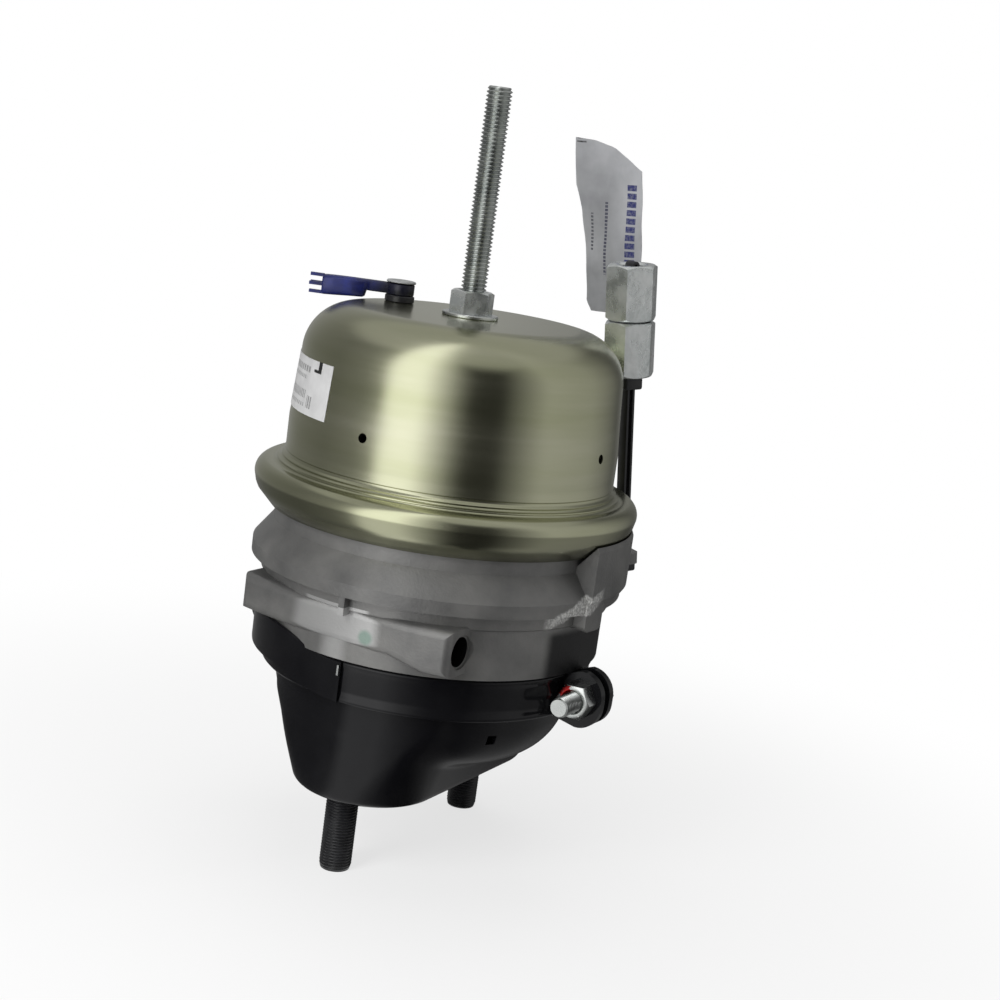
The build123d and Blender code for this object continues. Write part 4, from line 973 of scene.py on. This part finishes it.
def set_floor():
    """A pale floor that shows the object's shadow near it, and turns to pure white further out."""
    size = 6
    corners = [(x, y, low_z) for x, y in ((-size, -size), (size, -size), (size, size), (-size, size))]
    _, tree = staged("floor", corners, [(0, 1, 2, 3)], 0.9)
    glow = tree.nodes.new("ShaderNodeEmission")
    glow.inputs["Color"].default_value = (1, 1, 1, 1)
    place = tree.nodes.new("ShaderNodeTexCoord").outputs["Object"]
    white = map_range(tree, distance_from(tree, place, (0, 0, 0)), 0.12, 0.5, 0.72, 1.0)
    mix = tree.nodes.new("ShaderNodeMixShader")
    tree.links.new(product(tree, seen_directly(tree), white), mix.inputs[0])
    tree.links.new(tree.nodes["Principled BSDF"].outputs[0], mix.inputs[1])
    tree.links.new(glow.outputs[0], mix.inputs[2])
    tree.links.new(mix.outputs[0], tree.nodes["Material Output"].inputs["Surface"])


def set_world():
    """A soft even light, and a white background for the camera."""
    world = bpy.data.worlds.new("studio")
    world.use_nodes = True
    bpy.context.scene.world = world
    tree = world.node_tree
    background = tree.nodes["Background"]
    strength = map_range(tree, seen_directly(tree), 0, 1, WORLD_LIGHT, 1.0, smooth=False)
    tree.links.new(strength, background.inputs["Strength"])
    background.inputs["Color"].default_value = (1, 1, 1, 1)


def area_light(name, at, width, height, power):
    """A lamp that lights the object but shows in no reflection, aimed at its middle."""
    data = bpy.data.lights.new(name, "AREA")
    data.shape = "RECTANGLE"
    data.size = width
    data.size_y = height
    data.energy = power
    ob = bpy.data.objects.new(name, data)
    ob.location = at
    ob.rotation_euler = (middle - at).to_track_quat("-Z", "Y").to_euler()
    bpy.context.scene.collection.objects.link(ob)
    ob.visible_glossy = False


set_floor()
set_world()
area_light("key", middle - aside * 0.62 - ahead * 0.78 + UP * 0.35, 0.42, 0.9, 9)
area_light("top", middle + ahead * 0.2 + UP * 1.1, 0.9, 0.9, 6)

# ---------------------------------------------------------------- cards that only reflections see
CARD_RADIUS, CARD_TOP, CARD_STRENGTH = 0.6, 1.0, 2.0
# degrees to the right of the camera, and the cards' brightness there
SHADES = [(-180, 0.20), (-120, 0.12), (-90, 0.10), (-64, 0.14), (-52, 0.22), (-44, 0.95), (-24, 0.95),
          (-12, 0.48), (0, 0.13), (8, 0.02), (28, 0.02), (42, 0.14), (60, 0.30), (100, 0.24), (140, 0.05),
          (165, 0.12), (180, 0.20)]


def surround_shell():
    """A drum round the object: a floor ring, a wall and a ceiling ring."""
    steps = 120
    foot = low_z + 0.0005
    points = []
    for azimuth in full_turn(steps):
        a = math.radians(azimuth)
        d = aside * math.sin(a) - ahead * math.cos(a)
        corners = ((0.02, foot), (CARD_RADIUS, foot), (CARD_RADIUS, CARD_TOP), (0.02, CARD_TOP))
        points += [tuple(d * r + UP * z) for r, z in corners]
    faces = []
    for i in range(steps):
        j = (i + 1) % steps
        faces += [(4 * i + k, 4 * j + k, 4 * j + k + 1, 4 * i + k + 1) for k in range(3)]
    return points, faces


def set_cards():
    surround, tree = staged("surround", *surround_shell(), 0)
    spin = tree.nodes.new("ShaderNodeVectorRotate")
    spin.rotation_type = "Z_AXIS"
    spin.inputs["Angle"].default_value = -CAMERA_AZIMUTH
    tree.links.new(tree.nodes.new("ShaderNodeTexCoord").outputs["Object"], spin.inputs["Vector"])
    x, y, z = split(tree, spin.outputs["Vector"])
    turned = map_range(tree, azimuth_of(tree, x, y), -math.pi, math.pi, smooth=False)
    shade = ramp(tree, turned, [((a + 180) / 360, v) for a, v in SHADES])
    walls = product(tree, shade, map_range(tree, z, low_z + 0.001, low_z + 0.10, 0.5, 1.0))
    ceiling = map_range(tree, z, 0.45, 0.85, 0.0, 0.25)
    glow = tree.nodes.new("ShaderNodeEmission")
    glow.inputs["Strength"].default_value = CARD_STRENGTH
    tree.links.new(calculate(tree, "MAXIMUM", walls, ceiling), glow.inputs["Color"])
    tree.links.new(glow.outputs[0], tree.nodes["Material Output"].inputs["Surface"])
    for ray in ("camera", "diffuse", "shadow", "transmission", "volume_scatter"):
        setattr(surround, "visible_" + ray, False)


set_cards()

# ---------------------------------------------------------------- camera
DISTANCE, HEIGHT, FOCAL_PIXELS = 0.861, 0.31825, 1742.88
PAN, TILT, ROLL = math.radians(1.813), math.radians(11.402), math.radians(-7.95)
IMAGE_PIXELS, SENSOR = 1000, 36

look = ahead * math.cos(PAN) + aside * math.sin(PAN)
right = aside * math.cos(PAN) - ahead * math.sin(PAN)
forward = look * math.cos(TILT) - UP * math.sin(TILT)
upward = look * math.sin(TILT) + UP * math.cos(TILT)
rolled_right = right * math.cos(ROLL) - upward * math.sin(ROLL)
rolled_up = upward * math.cos(ROLL) + right * math.sin(ROLL)
camera_data = bpy.data.cameras.new("camera")
camera_data.sensor_width = SENSOR
camera_data.lens = FOCAL_PIXELS / IMAGE_PIXELS * SENSOR
camera_data.clip_start = 0.01
camera = bpy.data.objects.new("camera", camera_data)
turn = Matrix((rolled_right, rolled_up, -forward)).transposed().to_4x4()
camera.matrix_world = Matrix.Translation(-ahead * DISTANCE + UP * HEIGHT) @ turn
bpy.context.scene.collection.objects.link(camera)
bpy.context.scene.camera = camera
bpy.context.scene.view_settings.view_transform = "Standard"
